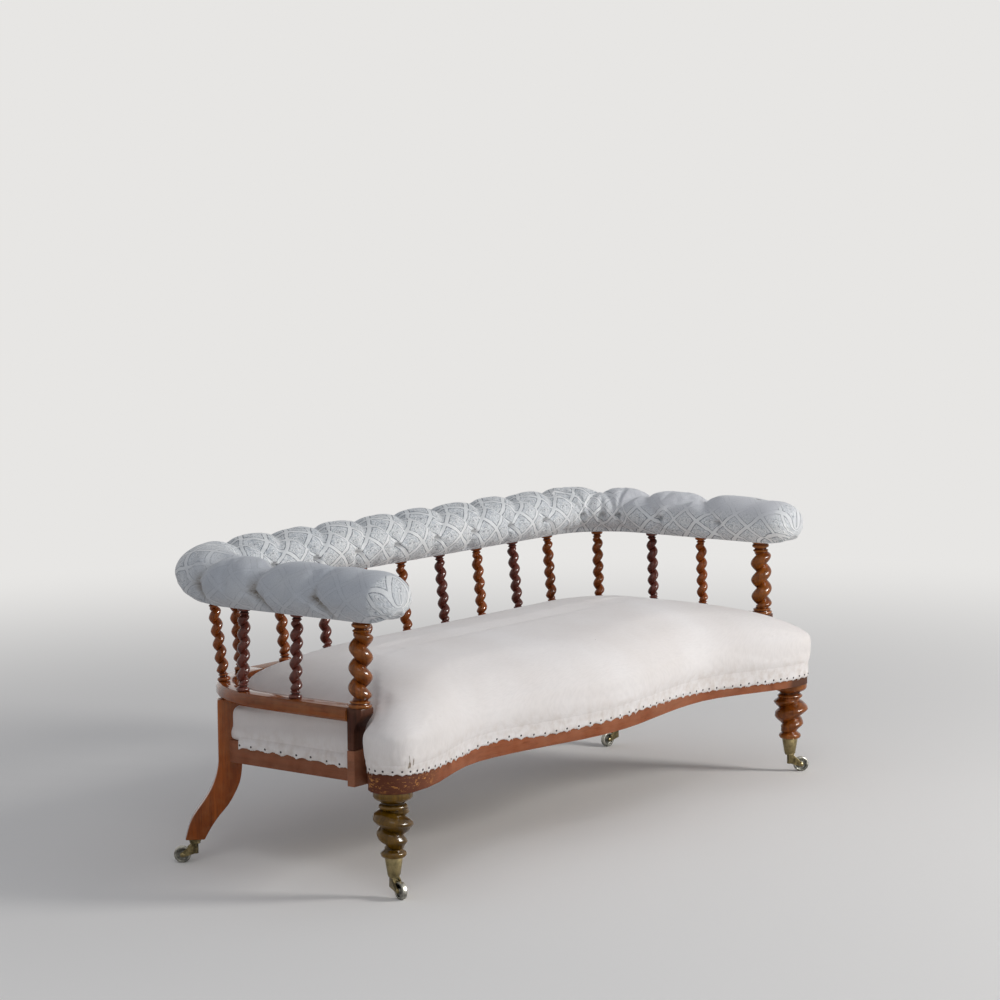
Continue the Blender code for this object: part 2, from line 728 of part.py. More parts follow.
def roll_end_rings(sign):
    """Rounded front end of an arm, from its tip back to the full section."""
    rings = []
    for k in range(ROLL_END_STEPS):
        angle = pi / 2 * (ROLL_END_STEPS - k - ROLL_TIP_SHARE) / ROLL_END_STEPS
        y = ROLL_END_Y - ROLL_HALF_WIDTH * sin(angle)
        rings.append([Vector((sign * (ROLL_X + u), y, z))
                      for u, z in roll_section(0.0, ARM_ROLL_HEIGHT, cos(angle))])
    return rings


def roll_pads(mats):
    plan = (ROLL_X, ROLL_Y, ROLL_CORNER)
    stops = (ROLL_END_Y, END_SPINDLE_Y, ROLL_Y - ROLL_CORNER - GAP)
    for side, sign in SIDES:
        rings = roll_end_rings(sign)
        for first, last in zip(stops, stops[1:]):
            path = resample([((ROLL_X, first), (1, 0)), ((ROLL_X, last), (1, 0))],
                            ROLL_PUFF_STEPS)
            tufts = [tuft_depth(k / ROLL_PUFF_STEPS) for k in range(ROLL_PUFF_STEPS + 1)]
            keep = slice(0, None) if first == ROLL_END_Y else slice(1, None)
            heights = [ARM_ROLL_HEIGHT] * len(path)
            rings += roll_rings(path[keep], tufts[keep], heights, sign)
        mesh_object(f"{side}_arm_pad", *loft(rings), mats["damask"])
        corner = u_path(*plan, ROLL_END_Y, "corner")
        per_puff = CORNER_STEPS // 2
        tufts = [tuft_depth(k % per_puff / per_puff) for k in range(CORNER_STEPS + 1)]
        heights = [ARM_ROLL_HEIGHT + (BACK_ROLL_HEIGHT - ARM_ROLL_HEIGHT) * k / CORNER_STEPS
                   for k in range(CORNER_STEPS + 1)]
        mesh_object(f"{side}_corner_pad", *loft(roll_rings(corner, tufts, heights, sign)),
                    mats["damask"])
    back = shorten(u_path(*plan, ROLL_END_Y, "back"))
    puffs = max(1, round(2 * (ROLL_X - ROLL_CORNER) / BACK_SPACING))
    path = resample(back, puffs * ROLL_PUFF_STEPS)
    tufts = [tuft_depth(k % ROLL_PUFF_STEPS / ROLL_PUFF_STEPS) for k in range(len(path))]
    heights = [BACK_ROLL_HEIGHT] * len(path)
    mesh_object("back_pad", *loft(roll_rings(path, tufts, heights, 1)), mats["damask"])


# Uprights

def on_spindle_rail(x, y):
    """Foot of a spindle: on the rail, set a little out where the rail curves."""
    centre_x = SPINDLE_RAIL_X - SPINDLE_RAIL_CORNER
    centre_y = SPINDLE_RAIL_Y - SPINDLE_RAIL_CORNER
    reach = SPINDLE_RAIL_CORNER + CORNER_FOOT_OUT
    if x is None:
        along = y - centre_y
        if along <= 0:
            return SPINDLE_RAIL_X, y
        return centre_x + sqrt(reach * reach - along * along), y
    along = abs(x) - centre_x
    if along <= 0:
        return x, SPINDLE_RAIL_Y
    return x, centre_y + sqrt(reach * reach - along * along)


def upright_places():
    """Name, foot and top of each small spindle, in plan."""
    places = []
    foot_centre = (SPINDLE_RAIL_X - SPINDLE_RAIL_CORNER, SPINDLE_RAIL_Y - SPINDLE_RAIL_CORNER)
    top_centre = (ROLL_X - ROLL_CORNER, ROLL_Y - ROLL_CORNER)
    reach = SPINDLE_RAIL_CORNER + CORNER_FOOT_OUT
    for side, sign in SIDES:
        for label, y in (("front", END_SPINDLE_Y), ("rear", CORNER_START_Y)):
            foot = on_spindle_rail(None, y)
            places.append((f"{side}_{label}_spindle", (sign * foot[0], y), (sign * ROLL_X, y)))
        places.append((f"{side}_corner_spindle",
                       (sign * (foot_centre[0] + reach * cos(CORNER_FOOT_TURN)),
                        foot_centre[1] + reach * sin(CORNER_FOOT_TURN)),
                       (sign * (top_centre[0] + ROLL_CORNER * cos(CORNER_TOP_TURN)),
                        top_centre[1] + ROLL_CORNER * sin(CORNER_TOP_TURN))))
    for k in range(BACK_SPINDLES):
        x = -BACK_HALF + BACK_SPACING * k
        places.append((f"back_spindle_{k + 1}", on_spindle_rail(x, None), (x, ROLL_Y)))
    return places


def twist_column(length, lean, radius, turns, steps, sides, foot, cap, hand, phase=0.0):
    """A turned upright whose middle is a single-start twist.

    lean is how far the top stands off the foot in plan; every section stays
    level, so both ends sit flat on their rails.
    """
    rings = []

    def add(share, section_radius, throw, angle):
        x = lean[0] * share + throw * cos(angle)
        y = lean[1] * share + throw * sin(angle)
        rings.append(circle((x, y), section_radius, length * share, sides))

    for share, section in foot:
        add(share, section * radius, 0.0, 0.0)
    start = foot[-1][0]
    end = cap[0][0]
    count = turns * steps
    throw = radius * TWIST_THROW_SHARE
    for k in range(1, count):
        share = start + (end - start) * k / count
        add(share, radius - throw, throw, phase + hand * 2 * pi * k / steps)
    for share, section in cap:
        add(share, section * radius, 0.0, 0.0)
    return loft(rings)


def small_spindles(mats):
    bottom = SPINDLE_RAIL_TOP + GAP
    length = ROLL_BOTTOM - GAP - bottom
    for name, foot, top in upright_places():
        lean = (top[0] - foot[0], top[1] - foot[1])
        shape = twist_column(length, lean, SPINDLE_RADIUS, SPINDLE_TURNS, SPINDLE_TURN_STEPS,
                             SPINDLE_SIDES, SPINDLE_FOOT_SHARES, SPINDLE_CAP_SHARES, 1)
        obj = mesh_object(name, *shape, mats["polish"])
        obj.location = (foot[0], foot[1], bottom)


def console_outline():
    """Side view of the post's foot: full above, hollowed in front to a thin foot."""
    back = CONSOLE_DEPTH / 2
    front = -CONSOLE_DEPTH / 2
    foot_front = back - CONSOLE_FOOT_DEPTH
    height = SPINDLE_RAIL_TOP - RAIL_BOTTOM
    points = [(back, 0.0), (back, height), (front, height)]
    steps = 6
    for k in range(steps + 1):
        share = k / steps
        ease = (1 - cos(pi * share)) / 2
        points.append((front + (foot_front - front) * ease,
                       height * (CONSOLE_TOP_SHARE - (CONSOLE_TOP_SHARE - CONSOLE_FOOT_SHARE) * share)))
    points.append((foot_front, 0.0))
    return points


def posts(mats):
    """Thick twist posts, each in one piece with the squared console under it."""
    length = ROLL_BOTTOM - GAP - SPINDLE_RAIL_TOP
    inner = SEAT_SIDE_X + GAP
    for side, sign in SIDES:
        column = twist_column(length, ((ROLL_X - POST_X) * sign, 0.0), POST_RADIUS, POST_TURNS,
                              POST_TURN_STEPS, POST_SIDES, POST_FOOT_SHARES, POST_CAP_SHARES, sign)
        verts = [v + Vector((sign * POST_X, POST_Y, SPINDLE_RAIL_TOP)) for v in column[0]]
        post = mesh_object(f"{side}_front_post", verts, column[1], mats["polish"])
        rings = [[Vector((sign * x, POST_Y + y, RAIL_BOTTOM + z)) for y, z in console_outline()]
                 for x in (inner, inner + CONSOLE_WIDTH)]
        console = cutter(f"{side}_console_block", *loft(rings), mats["polish"])
        boolean(post, console, 'UNION')


# Legs

def blend(table, share):
    """Straight-line value of a table of (share, value) pairs."""
    for (s0, v0), (s1, v1) in zip(table, table[1:]):
        if share <= s1:
            return v0 + (v1 - v0) * (share - s0) / (s1 - s0)
    return table[-1][1]


def front_leg(side, sign, mats):
    bottom = FERRULE_TOP + GAP
    height = RAIL_BOTTOM - GAP - bottom
    phase, phase_share = ((RIGHT_LEG_PHASE, RIGHT_PHASE_SHARE) if sign > 0
                          else (LEFT_LEG_PHASE, LEFT_PHASE_SHARE))
    tenon_top = FERRULE_TOP_RADIUS - FERRULE_WALL - FRONT_LEG_TENON_GAP
    tenon_low = FERRULE_BOTTOM_RADIUS - FERRULE_WALL / 2 - FRONT_LEG_TENON_GAP
    tenon_bottom = FERRULE_BOTTOM + FERRULE_FLOOR + GAP
    rings = [circle((0, 0), tenon_low, tenon_bottom, FRONT_LEG_SIDES),
             circle((0, 0), tenon_top, bottom, FRONT_LEG_SIDES)]
    for share, radius in FRONT_LEG_RING_SHARES[1:]:
        rings.append(circle((0, 0), radius * FRONT_LEG_RADIUS, bottom + share * height, FRONT_LEG_SIDES))
    first = FRONT_LEG_TWIST_SHARES[0][0]
    last = FRONT_LEG_TWIST_SHARES[-1][0]
    count = ceil((last - first) * height / FRONT_LEG_PITCH * FRONT_LEG_STEPS)
    for k in range(count + 1):
        share = first + (last - first) * k / count
        angle = phase + sign * 2 * pi * (share - phase_share) * height / FRONT_LEG_PITCH
        ease = min(1.0, LEG_EASE * min(k, count - k) / count)
        throw = FRONT_LEG_THROW * ease
        radius = blend(FRONT_LEG_TWIST_SHARES, share) * FRONT_LEG_RADIUS
        rings.append(circle((throw * cos(angle), throw * sin(angle)), radius,
                            bottom + share * height, FRONT_LEG_SIDES))
    for share, radius in FRONT_LEG_COLLAR_SHARES:
        rings.append(circle((0, 0), radius * FRONT_LEG_RADIUS, bottom + share * height, FRONT_LEG_SIDES))
    leg = mesh_object(f"{side}_front_leg", *loft(rings), mats["golden"])
    leg.location = (sign * FRONT_LEG_X, 0, 0)
    return leg


def rear_leg(side, sign, mats):
    """Sabre leg and stile sawn from one plank, set cornerwise."""
    foot = FERRULE_BOTTOM + REAR_PLATE_THICK + GAP
    top = SPINDLE_RAIL_BOTTOM - GAP
    rings = []

    def add(height, centre, depth, width):
        rings.append([Vector((centre + a * depth / 2, b * width / 2, height))
                      for a, b in ((-1, -1), (1, -1), (1, 1), (-1, 1))])

    for share, sweep_share, depth_share in reversed(REAR_LEG_SHARES):
        width = REAR_LEG_FOOT_WIDTH + (REAR_LEG_WIDTH - REAR_LEG_FOOT_WIDTH) * share
        add(foot + (RAIL_BOTTOM - foot) * share, REAR_LEG_SWEEP * sweep_share,
            REAR_LEG_DEPTH * depth_share, width)
    add(top, 0.0, REAR_LEG_DEPTH, REAR_LEG_WIDTH)
    leg = mesh_object(f"{side}_rear_leg", *loft(rings), mats["polish"])
    leg.location, leg.rotation_euler.z = rear_leg_frame(sign)
    return leg


# Castors

def castor_places():
    """Swivel axis of each castor in plan."""
    places = {}
    for side, sign in SIDES:
        places[f"front_{side}"] = (sign * FRONT_LEG_X, 0.0)
        base, turn = rear_leg_frame(sign)
        places[f"rear_{side}"] = (base.x + REAR_LEG_SWEEP * cos(turn),
                                  base.y + REAR_LEG_SWEEP * sin(turn))
    return places


def front_ferrule(name, place, mats):
    bore = PIN_RADIUS + PIN_CLEAR
    inner_top = FERRULE_TOP_RADIUS - FERRULE_WALL
    inner_low = FERRULE_BOTTOM_RADIUS - FERRULE_WALL / 2
    seat = FERRULE_BOTTOM + FERRULE_FLOOR
    profile = [(bore, FERRULE_BOTTOM), (FERRULE_BOTTOM_RADIUS, FERRULE_BOTTOM),
               (FERRULE_TOP_RADIUS, FERRULE_TOP), (inner_top, FERRULE_TOP),
               (inner_low, seat), (bore, seat)]
    obj = mesh_object(name, *lathe(profile, FERRULE_SIDES, closed=True), mats["brass"])
    obj.location = (*place, 0)


def rear_socket(name, place, mats):
    bore = PIN_RADIUS + PIN_CLEAR
    top = FERRULE_BOTTOM + REAR_PLATE_THICK
    profile = [(bore, FERRULE_BOTTOM), (HORN_FLANGE_RADIUS, FERRULE_BOTTOM),
               (REAR_PLATE_RADIUS, top), (bore, top)]
    obj = mesh_object(name, *lathe(profile, FERRULE_SIDES, closed=True), mats["brass"])
    obj.location = (*place, 0)


def horn_arm(sign):
    """One cheek of the fork, from the barrel to the round eye at the axle."""
    inner = WHEEL_WIDTH / 2 + HORN_SIDE_CLEAR
    outer = inner + HORN_ARM_THICK
    top = FERRULE_BOTTOM - GAP - HORN_FLANGE_THICK / 2
    eye = arc((CASTOR_TRAIL, WHEEL_RADIUS), HORN_EYE_RADIUS, -pi / 2, pi / 2, 5)
    outline = [(-HORN_BARREL_RADIUS / 2, HORN_CHEEK_BOTTOM)] + eye
    outline += [(HORN_CHEEK_TOP_REACH, top), (-HORN_BARREL_RADIUS / 2, top)]
    return loft([[Vector((x, sign * y, z)) for x, z in outline] for y in (inner, outer)])


def horn_mesh(mats):
    """Barrel, pin, yoke and two cheeks, joined and bored for the axle."""
    top = FERRULE_BOTTOM - GAP
    flange = top - HORN_FLANGE_THICK
    profile = [(HORN_BARREL_RADIUS, HORN_BARREL_BOTTOM), (HORN_BARREL_RADIUS, flange),
               (HORN_FLANGE_RADIUS, flange), (HORN_FLANGE_RADIUS, top),
               (PIN_RADIUS, top), (PIN_RADIUS, top + PIN_LENGTH)]
    horn = mesh_object("horn_master", *lathe(profile, HORN_SIDES), mats["brass"])
    half = WHEEL_WIDTH / 2 + HORN_SIDE_CLEAR + HORN_ARM_THICK
    yoke_end = CASTOR_TRAIL - WHEEL_RADIUS - HORN_SIDE_CLEAR
    wide = half - HORN_ARM_THICK / 2
    yoke_top = flange + HORN_FLANGE_THICK / 3
    tools = [cutter("yoke", *box((-HORN_BARREL_RADIUS / 3, -wide, HORN_YOKE_BOTTOM),
                                 (yoke_end, wide, yoke_top)), mats["brass"])]
    for sign in (-1, 1):
        tools.append(cutter("cheek", *horn_arm(sign), mats["brass"]))
    for tool in tools:
        boolean(horn, tool, 'UNION')
    hole = circle((0, 0), AXLE_RADIUS + AXLE_CLEAR, 0.0, HORN_SIDES)
    rings = [[Vector((CASTOR_TRAIL + p.x, y, WHEEL_RADIUS + p.y)) for p in hole]
             for y in (-half - OVERRUN, half + OVERRUN)]
    drill = cutter("axle_drill", *loft(rings), mats["brass"])
    boolean(horn, drill, 'DIFFERENCE')
    bpy.context.view_layer.update()
    graph = bpy.context.evaluated_depsgraph_get()
    mesh = bpy.data.meshes.new_from_object(horn.evaluated_get(graph))
    mesh.name = "castor_horn"
    for obj in [horn, drill] + tools:
        bpy.data.objects.remove(obj)
    return mesh


def along_axle(verts):
    """Turn a lathed piece so that its axis lies along Y."""
    return [Vector((v.x, v.z, -v.y)) for v in verts]


def wheel_mesh(mats):
    half = WHEEL_WIDTH / 2
    bore = (AXLE_RADIUS + AXLE_CLEAR) / cos(pi / WHEEL_SIDES)
    rim = WHEEL_RADIUS / cos(pi / WHEEL_SIDES)
    edge = rim - WHEEL_CHAMFER
    inner = WHEEL_RADIUS - WHEEL_RIM
    web = WHEEL_WEB / 2
    profile = [(bore, -half), (WHEEL_HUB_RADIUS, -half), (WHEEL_HUB_RADIUS, -web), (inner, -web),
               (inner, -half), (edge, -half), (rim, -half + WHEEL_CHAMFER),
               (rim, half - WHEEL_CHAMFER), (edge, half), (inner, half), (inner, web),
               (WHEEL_HUB_RADIUS, web), (WHEEL_HUB_RADIUS, half), (bore, half)]
    verts, faces = lathe(profile, WHEEL_SIDES, turn=pi / WHEEL_SIDES, closed=True)
    wheel = mesh_object("wheel_master", along_axle(verts), faces, mats["wheel"])
    mesh = wheel.data
    bpy.data.objects.remove(wheel)
    return mesh


def axle_mesh(mats):
    half = WHEEL_WIDTH / 2 + HORN_SIDE_CLEAR + HORN_ARM_THICK + GAP
    end = half + AXLE_HEAD_HEIGHT
    profile = [(AXLE_HEAD / 2, -end), (AXLE_HEAD, -half), (AXLE_RADIUS, -half),
               (AXLE_RADIUS, half), (AXLE_HEAD, half), (AXLE_HEAD / 2, end)]
    verts, faces = lathe(profile, HORN_SIDES)
    axle = mesh_object("axle_master", along_axle(verts), faces, mats["brass"])
    mesh = axle.data
    bpy.data.objects.remove(axle)
    return mesh


def castors(mats):
    horn = horn_mesh(mats)
    wheel = wheel_mesh(mats)
    axle = axle_mesh(mats)
    for corner, place in castor_places().items():
        if corner.startswith("front"):
            front_ferrule(f"{corner}_ferrule", place, mats)
        else:
            rear_socket(f"{corner}_socket", place, mats)
        turn = CASTOR_TRAIL_TURNS[corner]
        centre = (place[0] + CASTOR_TRAIL * cos(turn), place[1] + CASTOR_TRAIL * sin(turn), WHEEL_RADIUS)
        for label, mesh, spot in (("horn", horn, (*place, 0)), ("wheel", wheel, centre),
                                  ("axle", axle, centre)):
            obj = bpy.data.objects.new(f"{corner}_castor_{label}", mesh)
            obj.location = spot
            obj.rotation_euler.z = turn
            bpy.context.scene.collection.objects.link(obj)


# Whole sofa

def centre_on_plan():
    """Move everything so that the origin lies under the middle of the sofa."""
    bpy.context.view_layer.update()
    graph = bpy.context.evaluated_depsgraph_get()
    low = Vector((1e9, 1e9, 1e9))
    high = -low
    for obj in bpy.context.scene.objects:
        if obj.hide_render or obj.type != 'MESH':
            continue
        shape = obj.evaluated_get(graph)
        for vert in shape.data.vertices:
            point = shape.matrix_world @ vert.co
            low = Vector(map(min, low, point))
            high = Vector(map(max, high, point))
    base = bpy.data.objects.new("sofa_origin", None)
    bpy.context.scene.collection.objects.link(base)
    for obj in bpy.context.scene.objects:
        if obj is not base and obj.parent is None:
            obj.parent = base
    base.location = (-(low.x + high.x) / 2, -(low.y + high.y) / 2, -low.z)
    bpy.context.view_layer.update()
    print("origin shift", [round(v, 5) for v in base.location])


def build():
    for obj in list(bpy.data.objects):
        bpy.data.objects.remove(obj)
    mats = make_materials()
    cutters = {sign: stile_cutter(f"{side}_stile_cutter", sign, mats["frame"])
               for side, sign in SIDES}
    front_seat_rail(mats)
    back_seat_rail(mats, cutters.values())
    for side, sign in SIDES:
        side_seat_rail(side, sign, mats, cutters[sign])
        front_leg(side, sign, mats)
        rear_leg(side, sign, mats)
    seat_stuffing(mats, cutters.values())
    seat_hessian(mats)
    seat_springs(mats)
    seat_webbing(mats)
    spindle_rails(mats)
    top_rails(mats)
    roll_pads(mats)
    small_spindles(mats)
    posts(mats)
    castors(mats)
    centre_on_plan()


build()
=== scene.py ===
"""Looks of the salon sofa: the stuffed seat, the padded roll, the twist-turned
woods and the castors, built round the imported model."""
from math import ceil, cos, hypot, pi, radians, sin

import bmesh
import bpy
import numpy as np
from mathutils import Matrix, Vector, noise


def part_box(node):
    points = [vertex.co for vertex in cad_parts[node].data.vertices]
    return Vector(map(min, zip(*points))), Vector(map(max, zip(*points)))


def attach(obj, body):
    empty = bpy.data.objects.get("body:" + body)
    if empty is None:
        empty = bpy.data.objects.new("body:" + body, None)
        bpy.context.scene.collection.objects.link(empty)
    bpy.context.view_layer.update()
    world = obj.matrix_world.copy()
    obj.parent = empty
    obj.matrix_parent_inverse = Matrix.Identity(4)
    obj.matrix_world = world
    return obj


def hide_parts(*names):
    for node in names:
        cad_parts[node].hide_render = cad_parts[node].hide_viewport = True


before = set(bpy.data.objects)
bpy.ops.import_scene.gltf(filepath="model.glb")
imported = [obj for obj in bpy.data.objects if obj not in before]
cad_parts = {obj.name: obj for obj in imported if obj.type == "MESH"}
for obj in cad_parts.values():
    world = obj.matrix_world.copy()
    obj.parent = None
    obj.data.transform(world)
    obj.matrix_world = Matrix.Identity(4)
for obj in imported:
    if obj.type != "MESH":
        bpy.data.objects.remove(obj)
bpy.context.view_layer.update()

SOFA = "sofa"
SIDES = (("left", -1), ("right", 1))

# The sofa's plan, in metres. Lengths along y count from the front legs' line.
LEG_LINE_Y = -0.331
SEAT_SIDE_X = 0.790
SEAT_BACK_Y = 0.600
SEAT_CORNER = 0.130
EAR_X = 0.800
EAR_Y = 0.006
EAR_RADIUS = 0.055
FRONT_BOW = 0.012
FRONT_HOLLOW = 0.038
HOLLOW_X = 0.440
RAIL_BOTTOM = 0.235
RAIL_TOP = 0.285
SPINDLE_RAIL_TOP = 0.409
SPINDLE_RAIL_CORNER = 0.250
SPINDLE_RAIL_X = 0.813
SPINDLE_RAIL_Y = 0.623
FRONT_RAIL_BACK = 0.078
POST_Y = 0.088


# Numbers

def within(value, low=0.0, high=1.0):
    return min(high, max(low, value))


def table(value, *columns):
    """Value between the rows of a table, held at its ends."""
    return float(np.interp(value, *columns))


# Handling objects

def only(*objs):
    bpy.ops.object.select_all(action='DESELECT')
    for obj in objs:
        obj.select_set(True)
    bpy.context.view_layer.objects.active = objs[0]


def edit(obj):
    only(obj)
    bpy.ops.object.mode_set(mode='EDIT')
    bpy.ops.mesh.select_all(action='SELECT')


def leave():
    bpy.ops.object.mode_set(mode='OBJECT')


def apply_place(obj):
    only(obj)
    bpy.ops.object.transform_apply(location=True, rotation=True, scale=True)


def modify(obj, kind, **settings):
    only(obj)
    modifier = obj.modifiers.new(kind.lower(), kind)
    for key, value in settings.items():
        setattr(modifier, key, value)
    bpy.ops.object.modifier_apply(modifier=modifier.name)


def smooth(obj, degrees):
    only(obj)
    bpy.ops.object.shade_smooth_by_angle(angle=radians(degrees))


def smooth_all(obj):
    only(obj)
    bpy.ops.object.shade_smooth()


def ease(obj, width, segments, degrees):
    """Round the edges that are sharper than an angle."""
    modify(obj, 'BEVEL', width=width, segments=segments, limit_method='ANGLE',
           angle_limit=radians(degrees), harden_normals=False)


def start_circle(name, sides, radius, height=0.0):
    """A filled circle, left in edit mode."""
    bpy.ops.object.select_all(action='DESELECT')
    bpy.ops.mesh.primitive_circle_add(vertices=sides, radius=radius, fill_type='NGON',
                                      location=(0, 0, height))
    obj = bpy.context.object
    obj.name = name
    edit(obj)
    return obj


def extrude(move, wide, deep, centre=(0, 0, 0)):
    """Draw the selected face out, then size it across about a centre."""
    bpy.ops.mesh.extrude_region_move(TRANSFORM_OT_translate={"value": move})
    bpy.ops.transform.resize(value=(wide, deep, 1), center_override=centre)


def face_outward():
    """Turn all faces outward and leave edit mode."""
    bpy.ops.mesh.select_all(action='SELECT')
    bpy.ops.mesh.normals_make_consistent(inside=False)
    leave()


def copy_of(obj, name):
    twin = obj.copy()
    twin.data = obj.data.copy()
    twin.name = name
    bpy.context.scene.collection.objects.link(twin)
    return twin


def mesh_from(name, verts, faces):
    mesh = bpy.data.meshes.new(name)
    mesh.from_pydata([tuple(v) for v in verts], [], faces)
    mesh.validate()
    obj = bpy.data.objects.new(name, mesh)
    bpy.context.scene.collection.objects.link(obj)
    return obj


def join(name, parts):
    only(*parts)
    bpy.ops.object.join()
    obj = bpy.context.object
    obj.name = name
    return obj


def unite(obj, other):
    modify(obj, 'BOOLEAN', operation='UNION', object=other, solver='EXACT')
    bpy.data.objects.remove(other)


def points_of(obj):
    co = np.empty(len(obj.data.vertices) * 3)
    obj.data.vertices.foreach_get("co", co)
    return co.reshape(-1, 3)


def set_points(obj, co):
    obj.data.vertices.foreach_set("co", np.asarray(co, np.float32).ravel())
    obj.data.update()


def finish_piece(obj, finish, slot, *nodes, body=SOFA):
    obj.data.materials.clear()
    obj.data.materials.append(finish)
    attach(obj, body)
    if nodes:
        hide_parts(*nodes)
    return obj


# Building node trees

class Value:
    """A node's output that takes plain arithmetic, one Math node a step."""

    def __init__(self, socket):
        self.socket = socket

    def __add__(self, other):
        return maths('ADD', self, other)

    def __sub__(self, other):
        return maths('SUBTRACT', self, other)

    def __mul__(self, other):
        return maths('MULTIPLY', self, other)

    def __truediv__(self, other):
        return maths('DIVIDE', self, other)


class Build:
    """Holds the node tree that new nodes go into."""
    tree = None


def connect(socket, value):
    if isinstance(value, Value):
        Build.tree.links.new(value.socket, socket)
    else:
        socket.default_value = value


def node(kind, links=None, **settings):
    """A node with its settings, its values and what feeds it."""
    made = Build.tree.nodes.new("ShaderNode" + kind)
    for key, value in settings.items():
        setattr(made, key, value)
    for socket, value in (links or {}).items():
        connect(made.inputs[socket], value)
    return made


def put(kind, links=None, output=0, **settings):
    """One output of a new node."""
    return Value(node(kind, links, **settings).outputs[output])


def values(made):
    return {socket.name: Value(socket) for socket in made.outputs}


def maths(operation, first, second=0.0):
    return put("Math", {0: first, 1: second}, operation=operation)


def larger(first, second):
    return maths('MAXIMUM', first, second)


def size_of(value):
    return maths('ABSOLUTE', value)


def object_place():
    return put("TexCoord", output="Object")


def split(place):
    return [Value(socket) for socket in node("SeparateXYZ", {0: place}).outputs]


def scaled(place, shares):
    return put("VectorMath", {0: place, 1: shares}, operation='MULTIPLY')


def length(place):
    return put("VectorMath", {0: place}, "Value", operation='LENGTH')


def flat_length(x, y):
    return length(put("CombineXYZ", {0: x, 1: y}))


def clouds(place, scale, detail=2.0, roughness=0.5, distortion=0.0, output=0):
    return put("TexNoise", {"Vector": place, "Scale": scale, "Detail": detail, "Roughness": roughness,
                            "Distortion": distortion}, output)


def ramp(value, *stops):
    made = node("ValToRGB", {0: value})
    elements = made.color_ramp.elements
    while len(elements) < len(stops):
        elements.new(0.5)
    for element, (place, colour) in zip(elements, stops):
        element.position = place
        grey = isinstance(colour, (int, float))
        element.color = (colour, colour, colour, 1) if grey else (*colour, 1)
    return Value(made.outputs[0])


def mix(share, first, second, blend='MIX'):
    pair = [value if isinstance(value, Value) else (*value, 1) for value in (first, second)]
    made = node("Mix", {0: share}, data_type='RGBA', blend_type=blend)
    for place, value in zip((6, 7), pair):
        connect(made.inputs[place], value)
    return Value(made.outputs[2])


def bump(height, strength, distance):
    return put("Bump", {"Height": height, "Strength": strength, "Distance": distance})


def group(name, inputs, outputs):
    """Open a node group of named inputs, a vector where the value is None or
    three numbers, and of plain number outputs. Gives its inputs."""
    tree = Build.tree = bpy.data.node_groups.new(name, 'ShaderNodeTree')
    for label, value in inputs:
        kind = "Float" if isinstance(value, float) else "Vector"
        socket = tree.interface.new_socket(label, in_out='INPUT', socket_type="NodeSocket" + kind)
        if value is not None:
            socket.default_value = value
    for label in outputs:
        tree.interface.new_socket(label, in_out='OUTPUT', socket_type="NodeSocketFloat")
    return values(tree.nodes.new("NodeGroupInput"))


def send(results):
    """Close the open group with what its outputs give."""
    out = Build.tree.nodes.new("NodeGroupOutput").inputs
    for label, value in results.items():
        connect(out[label], value)
    return Build.tree


def use(shared, **links):
    made = node("Group", node_tree=shared)
    for socket, value in links.items():
        connect(made.inputs[socket.capitalize()], value)
    return values(made)


def material(name):
    made = bpy.data.materials.new(name)
    made.use_nodes = True
    Build.tree = made.node_tree
    return made, made.node_tree.nodes["Principled BSDF"]


def feed(shader, links):
    for socket, value in links.items():
        connect(shader.inputs[socket], value)


# Shared effects

def make_wood_figure():
    given = group("wood_figure", (("Vector", None), ("Along", (1.0, 1.0, 0.06)), ("Scale", 60.0)),
                  ("Figure", "Pores", "Blotch"))
    stretched = scaled(given["Vector"], given["Along"])
    return send({"Figure": clouds(stretched, given["Scale"], 6.0, 0.62, 0.6),
                 "Pores": clouds(stretched, given["Scale"] * 9.0, 3.0, 0.7),
                 "Blotch": clouds(given["Vector"], 9.0, 3.0)})


def make_edge_wear_and_hollow_shade():
    """Masks of the convex edges, for wear, and of the hollows, for painted shade and on metal tarnish too,
    broken up by noise.
    """
    given = group("edge_wear_and_hollow_shade", (("Vector", None), ("Breakup", 40.0)), ("Edge", "Hollow"))
    rough = clouds(given["Vector"], given["Breakup"], 4.0)
    nudged = put("NewGeometry", output="Pointiness") + (rough - 0.5) * 0.08
    return send({"Edge": ramp(nudged, (0.52, 0.0), (0.60, 1.0)),
                 "Hollow": ramp(nudged, (0.42, 1.0), (0.505, 0.0))})


def make_plain_weave():
    """Over-and-under threads on the object's own coordinates."""
    given = group("plain_weave", (("Vector", None), ("Threads", 900.0)), ("Height", "Slub"))
    x, y, z = [maths('SINE', part * given["Threads"]) for part in split(given["Vector"])]
    return send({"Height": x * y + y * z + x * z,
                 "Slub": clouds(scaled(given["Vector"], (1.0, 12.0, 1.0)), 60.0, 3.0)})


